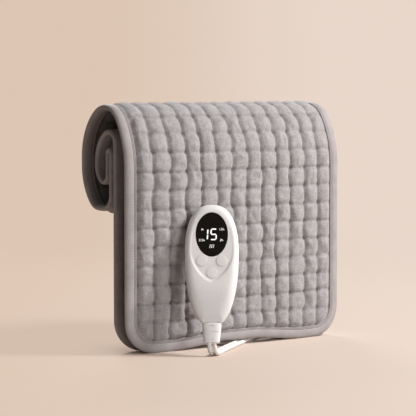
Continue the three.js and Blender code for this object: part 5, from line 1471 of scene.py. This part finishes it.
# The ties: soft dark grey hook-and-loop straps that keep each coil together. Each is wrapped once round one
# side of its coil, with the end pressed down over the start.
TIE_WIDTH = 12
TIE_WALL = 0.9
TIE_CORNER = 3.0
TIE_CORNER_STEPS = 8
TIE_LAP = 14
TIE_LAP_STEPS = 6
TIE_LAP_GAP = 0.1
TIE_SIDES = 16
TIE_SOFT = (0.4, 0.7)
MAINS_TIE_ANGLE = math.radians(235)
PAD_TIE_ANGLE = math.radians(305)
strap_nap = (1300, 3, 0.6)
strap = mottled(
    "strap_fabric", ((1, *strap_nap),), (92, 89, 89), (122, 118, 118), rough=(0.8, 0.2),
    fuzz=(0.0004, *strap_nap), Sheen_Weight=0.3, Specular_IOR_Level=0.2,
)


def tie_piece(name, node, centre, radius, turns, angle):
    """A strap round one side of a coil: once round and a short lap on top."""
    least = radius - COIL_PITCH * turns / 2
    sag = least - math.sqrt(least**2 - (TIE_WIDTH / 2) ** 2)
    near = least - CORD_DIAMETER / 2 - sag - 2 * FIT
    far = radius + CORD_DIAMETER / 2 + 2 * FIT
    low = COIL_LOW - CORD_DIAMETER / 2 - FIT
    high = COIL_HIGH + CORD_DIAMETER / 2 + FIT
    flat_long, flat_tall = (far - near) / 2 - TIE_CORNER, (high - low) / 2 - TIE_CORNER
    top = flat_tall + TIE_CORNER
    path = [(0.0, top, 90.0)]
    for x, z, first in ((1, 1, 90), (1, -1, 0), (-1, -1, 270), (-1, 1, 180)):
        for turn in np.linspace(first, first - 90, TIE_CORNER_STEPS + 1):
            bend = math.radians(turn)
            corner_x, corner_z = TIE_CORNER * math.cos(bend), TIE_CORNER * math.sin(bend)
            path.append((x * flat_long + corner_x, z * flat_tall + corner_z, turn))
    path += [(TIE_LAP * k / TIE_LAP_STEPS - flat_long, top, 90.0) for k in range(1, TIE_LAP_STEPS + 1)]
    lap_start = len(path) - TIE_LAP_STEPS - 1
    around = np.linspace(0, 2 * math.pi, TIE_SIDES, endpoint=False)
    a, b = np.cos(around), np.sin(around)
    wide = np.sign(a) * np.abs(a) ** TIE_SOFT[0] * TIE_WIDTH / 2
    thick = TIE_WALL / 2 * (1 + np.sign(b) * np.abs(b) ** TIE_SOFT[1])
    rings = []
    for k, (x, z, turn) in enumerate(path):
        out = thick + (TIE_WALL + TIE_LAP_GAP) * smoothstep(k, lap_start, lap_start + 2)
        bend = math.radians(turn)
        rings.append(np.stack([x + out * math.cos(bend), wide, z + out * math.sin(bend)], axis=1))
    turned = np.array(Matrix.Rotation(angle, 3, "Z")).T

    def round_coil(points):
        return (points + ((far + near) / 2, 0, (high + low) / 2)) @ turned + (centre.x, centre.y, 0)

    made = solid(name, rings, strap, round_coil, sharp=60)
    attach(made, "pad_and_controller")
    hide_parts(node)
    return made


mains_tie = tie_piece(
    "mains_strap", "mains_coil_tie", mains_centre, MAINS_COIL_RADIUS, mains_turns, MAINS_TIE_ANGLE
)
pad_tie = tie_piece("pad_strap", "pad_coil_tie", pad_centre, PAD_COIL_RADIUS, pad_turns, PAD_TIE_ANGLE)

# The plug: moulded round the mains lead's end in the same white plastic, with a ribbed relief, a waisted
# body to grip and a flat front. Its two flat brass blades are held in it. A blade's tip is given as how far
# back each place is, how much narrower it is and its share of the thickness.
PLUG_LENGTH = 34
PLUG_WIDTH = 26
PLUG_RELIEF = 20
PLUG_NECK = 9
PLUG_FLARE = 2
PLUG_COLLAR = 10
PLUG_SHOULDER = 10
PLUG_SWELL = 0.8
PLUG_WAIST = 2.4
WAIST_SHARE = 0.6
PLUG_ROUND = 1.5
RIB_PITCH = 3.2
RIB_STEPS = 8
RIB_POWER = 0.6
PLUG_RIB = 0.55
BLADE_SPACING = 12.7
BLADE_LENGTH = 17
BLADE_HEIGHT = 6.3
BLADE_THICKNESS = 1.5
BLADE_EDGE = 0.2
BLADE_ROOT = 6
SEAT_PAST = 4
BLADE_TIP = ((2.2, 0, 1), (0.8, 1.2, 0.9), (0, 3, 0.5))
BLADE_HOLE = 1.6
HOLE_AHEAD = 12
HOLE_SIDES = 24
HOLE_REACH = 3
plug_start = plug_entry - Vector((FIT, 0, 0))
blade_face = PLUG_RELIEF + PLUG_LENGTH


def along_plug(points):
    """Points along the plug's own axis, laid on the floor with the blades pointing along -X."""
    x, y, z = np.asarray(points, float).T
    return np.stack([plug_start.x - z, plug_start.y + y, plug_start.z + x], axis=1)


def rib(along, height):
    """How far a ribbed grip stands out at a distance along it."""
    return height * max(0, math.sin(2 * math.pi * along / RIB_PITCH)) ** RIB_POWER


plug_rings = []
for z in np.arange(0, PLUG_RELIEF + 0.01, RIB_PITCH / RIB_STEPS):
    neck = PLUG_NECK + PLUG_FLARE * z / PLUG_RELIEF + 2 * (rib(z, PLUG_RIB) - PLUG_RIB)
    plug_rings.append(soft_ring(neck, neck, z))
for t in np.linspace(0.05, 1, 16):
    swell = math.sin(t * math.pi / 2) ** PLUG_SWELL
    height, width = (PLUG_COLLAR + (size - PLUG_COLLAR) * swell for size in (PLUG_HEIGHT, PLUG_WIDTH))
    plug_rings.append(soft_ring(height, width, PLUG_RELIEF + PLUG_SHOULDER * t))
for t in np.linspace(0.05, 1, 18):
    waist = PLUG_WAIST * math.sin(t * math.pi) ** 2
    z = PLUG_RELIEF + PLUG_SHOULDER + t * (PLUG_LENGTH - PLUG_SHOULDER - PLUG_ROUND)
    plug_rings.append(soft_ring(PLUG_HEIGHT - WAIST_SHARE * waist, PLUG_WIDTH - waist, z))
for t in np.linspace(0.2, 1, 6) * math.pi / 2:
    ease = 2 * PLUG_ROUND * (1 - math.cos(t))
    z = blade_face - PLUG_ROUND + PLUG_ROUND * math.sin(t)
    plug_rings.append(soft_ring(PLUG_HEIGHT - ease, PLUG_WIDTH - ease, z))
plug = solid("plug", plug_rings, white_plastic, along_plug)
blade_places = {"left": -BLADE_SPACING / 2, "right": BLADE_SPACING / 2}
blade_seats = []
for y in blade_places.values():
    a, b = BLADE_HEIGHT / 2 + FIT, BLADE_THICKNESS / 2 + FIT
    seat_rings = box_rings((-a, y - b, blade_face - BLADE_ROOT - FIT), (a, y + b, blade_face + SEAT_PAST))
    blade_seats.append(solid("blade_seat", seat_rings, white_plastic, along_plug))
carve(plug, blade_seats, sharp=EDGE_SHARP)
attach(plug, "pad_and_controller")
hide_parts("plug_body")
brass = mottled(
    "plated_brass", ((1, 300, 3),), (196, 178, 126), (214, 198, 150), rough=(0.22, 0.14), Metallic=1.0
)
blade_stations = [(blade_face - BLADE_ROOT, BLADE_HEIGHT, BLADE_THICKNESS)]
for back, narrower, thickness in BLADE_TIP:
    blade_end = blade_face + BLADE_LENGTH - back
    blade_stations.append((blade_end, BLADE_HEIGHT - narrower, BLADE_THICKNESS * thickness))
for name, y in blade_places.items():
    blade_rings = []
    for z, width, thickness in blade_stations:
        w, t = width / 2, thickness / 2
        e = min(BLADE_EDGE, t / 2)
        spots = ((-w, e - t), (e - w, -t), (w - e, -t), (w, e - t))
        spots += ((w, t - e), (w - e, t), (e - w, t), (-w, t - e))
        blade_rings.append(np.array([(a, y + b, z) for a, b in spots]))
    blade = solid("blade_" + name, blade_rings, brass, along_plug, smooth=False)
    turn = np.linspace(0, 2 * math.pi, HOLE_SIDES, endpoint=False)
    hole_x, hole_z = BLADE_HOLE * np.cos(turn), blade_face + HOLE_AHEAD + BLADE_HOLE * np.sin(turn)
    hole_rings = []
    for hole_y in (y - HOLE_REACH, y + HOLE_REACH):
        hole_rings.append(np.stack([hole_x, np.full(HOLE_SIDES, hole_y), hole_z], axis=1))
    carve(blade, [solid("blade_hole", hole_rings, brass, along_plug)])
    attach(blade, "pad_and_controller")
    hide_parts("plug_blade_" + name)

# The pad's cord gland: a small white plate sewn to the tape of the rear panel, with a ribbed boot that the
# pad's lead goes into. The plate's rounded edge is given as how much narrower it is, how far below its top
# and how soft its corners are.
GLAND_WIDTH = 26
GLAND_HEIGHT = 6
GLAND_RADIUS = 3.8
GLAND_EDGE = ((0, GLAND_PLATE, 0.4), (0, 0.6, 0.4), (0.6, 0.15, 0.4), (1.2, 0, 0.45))
GLAND_RIB = 0.5
GLAND_MOUTH = 1.4
GLAND_SIDES = 48


def at_gland(points):
    """Points about the gland's own axis, which points away from the pad."""
    x, y, z = np.asarray(points, float).T
    return np.stack([GLAND_X + x, gland_face + z, COIL_HIGH - y], axis=1)


gland_rings = []
for narrower, below, softness in GLAND_EDGE:
    size = GLAND_WIDTH - narrower, GLAND_HEIGHT - narrower
    gland_rings.append(soft_ring(*size, GLAND_PLATE - below, softness, GLAND_SIDES))
for step in range(round(GLAND_BOOT * RIB_STEPS / RIB_PITCH)):
    z = GLAND_PLATE + step * RIB_PITCH / RIB_STEPS
    size = 2 * (GLAND_RADIUS - GLAND_RIB + rib(z, GLAND_RIB))
    gland_rings.append(soft_ring(size, size, z, 1.0, GLAND_SIDES))
mouth = 2 * GLAND_RADIUS - GLAND_MOUTH
gland_rings.append(soft_ring(mouth, mouth, GLAND_PLATE + GLAND_BOOT, 1.0, GLAND_SIDES))
gland = solid("gland", gland_rings, white_plastic, at_gland, sharp=45)
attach(gland, "pad_and_controller")
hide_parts("pad_cord_gland")

round(line_length(mains_line), 3)
round(line_length(pad_line), 3)
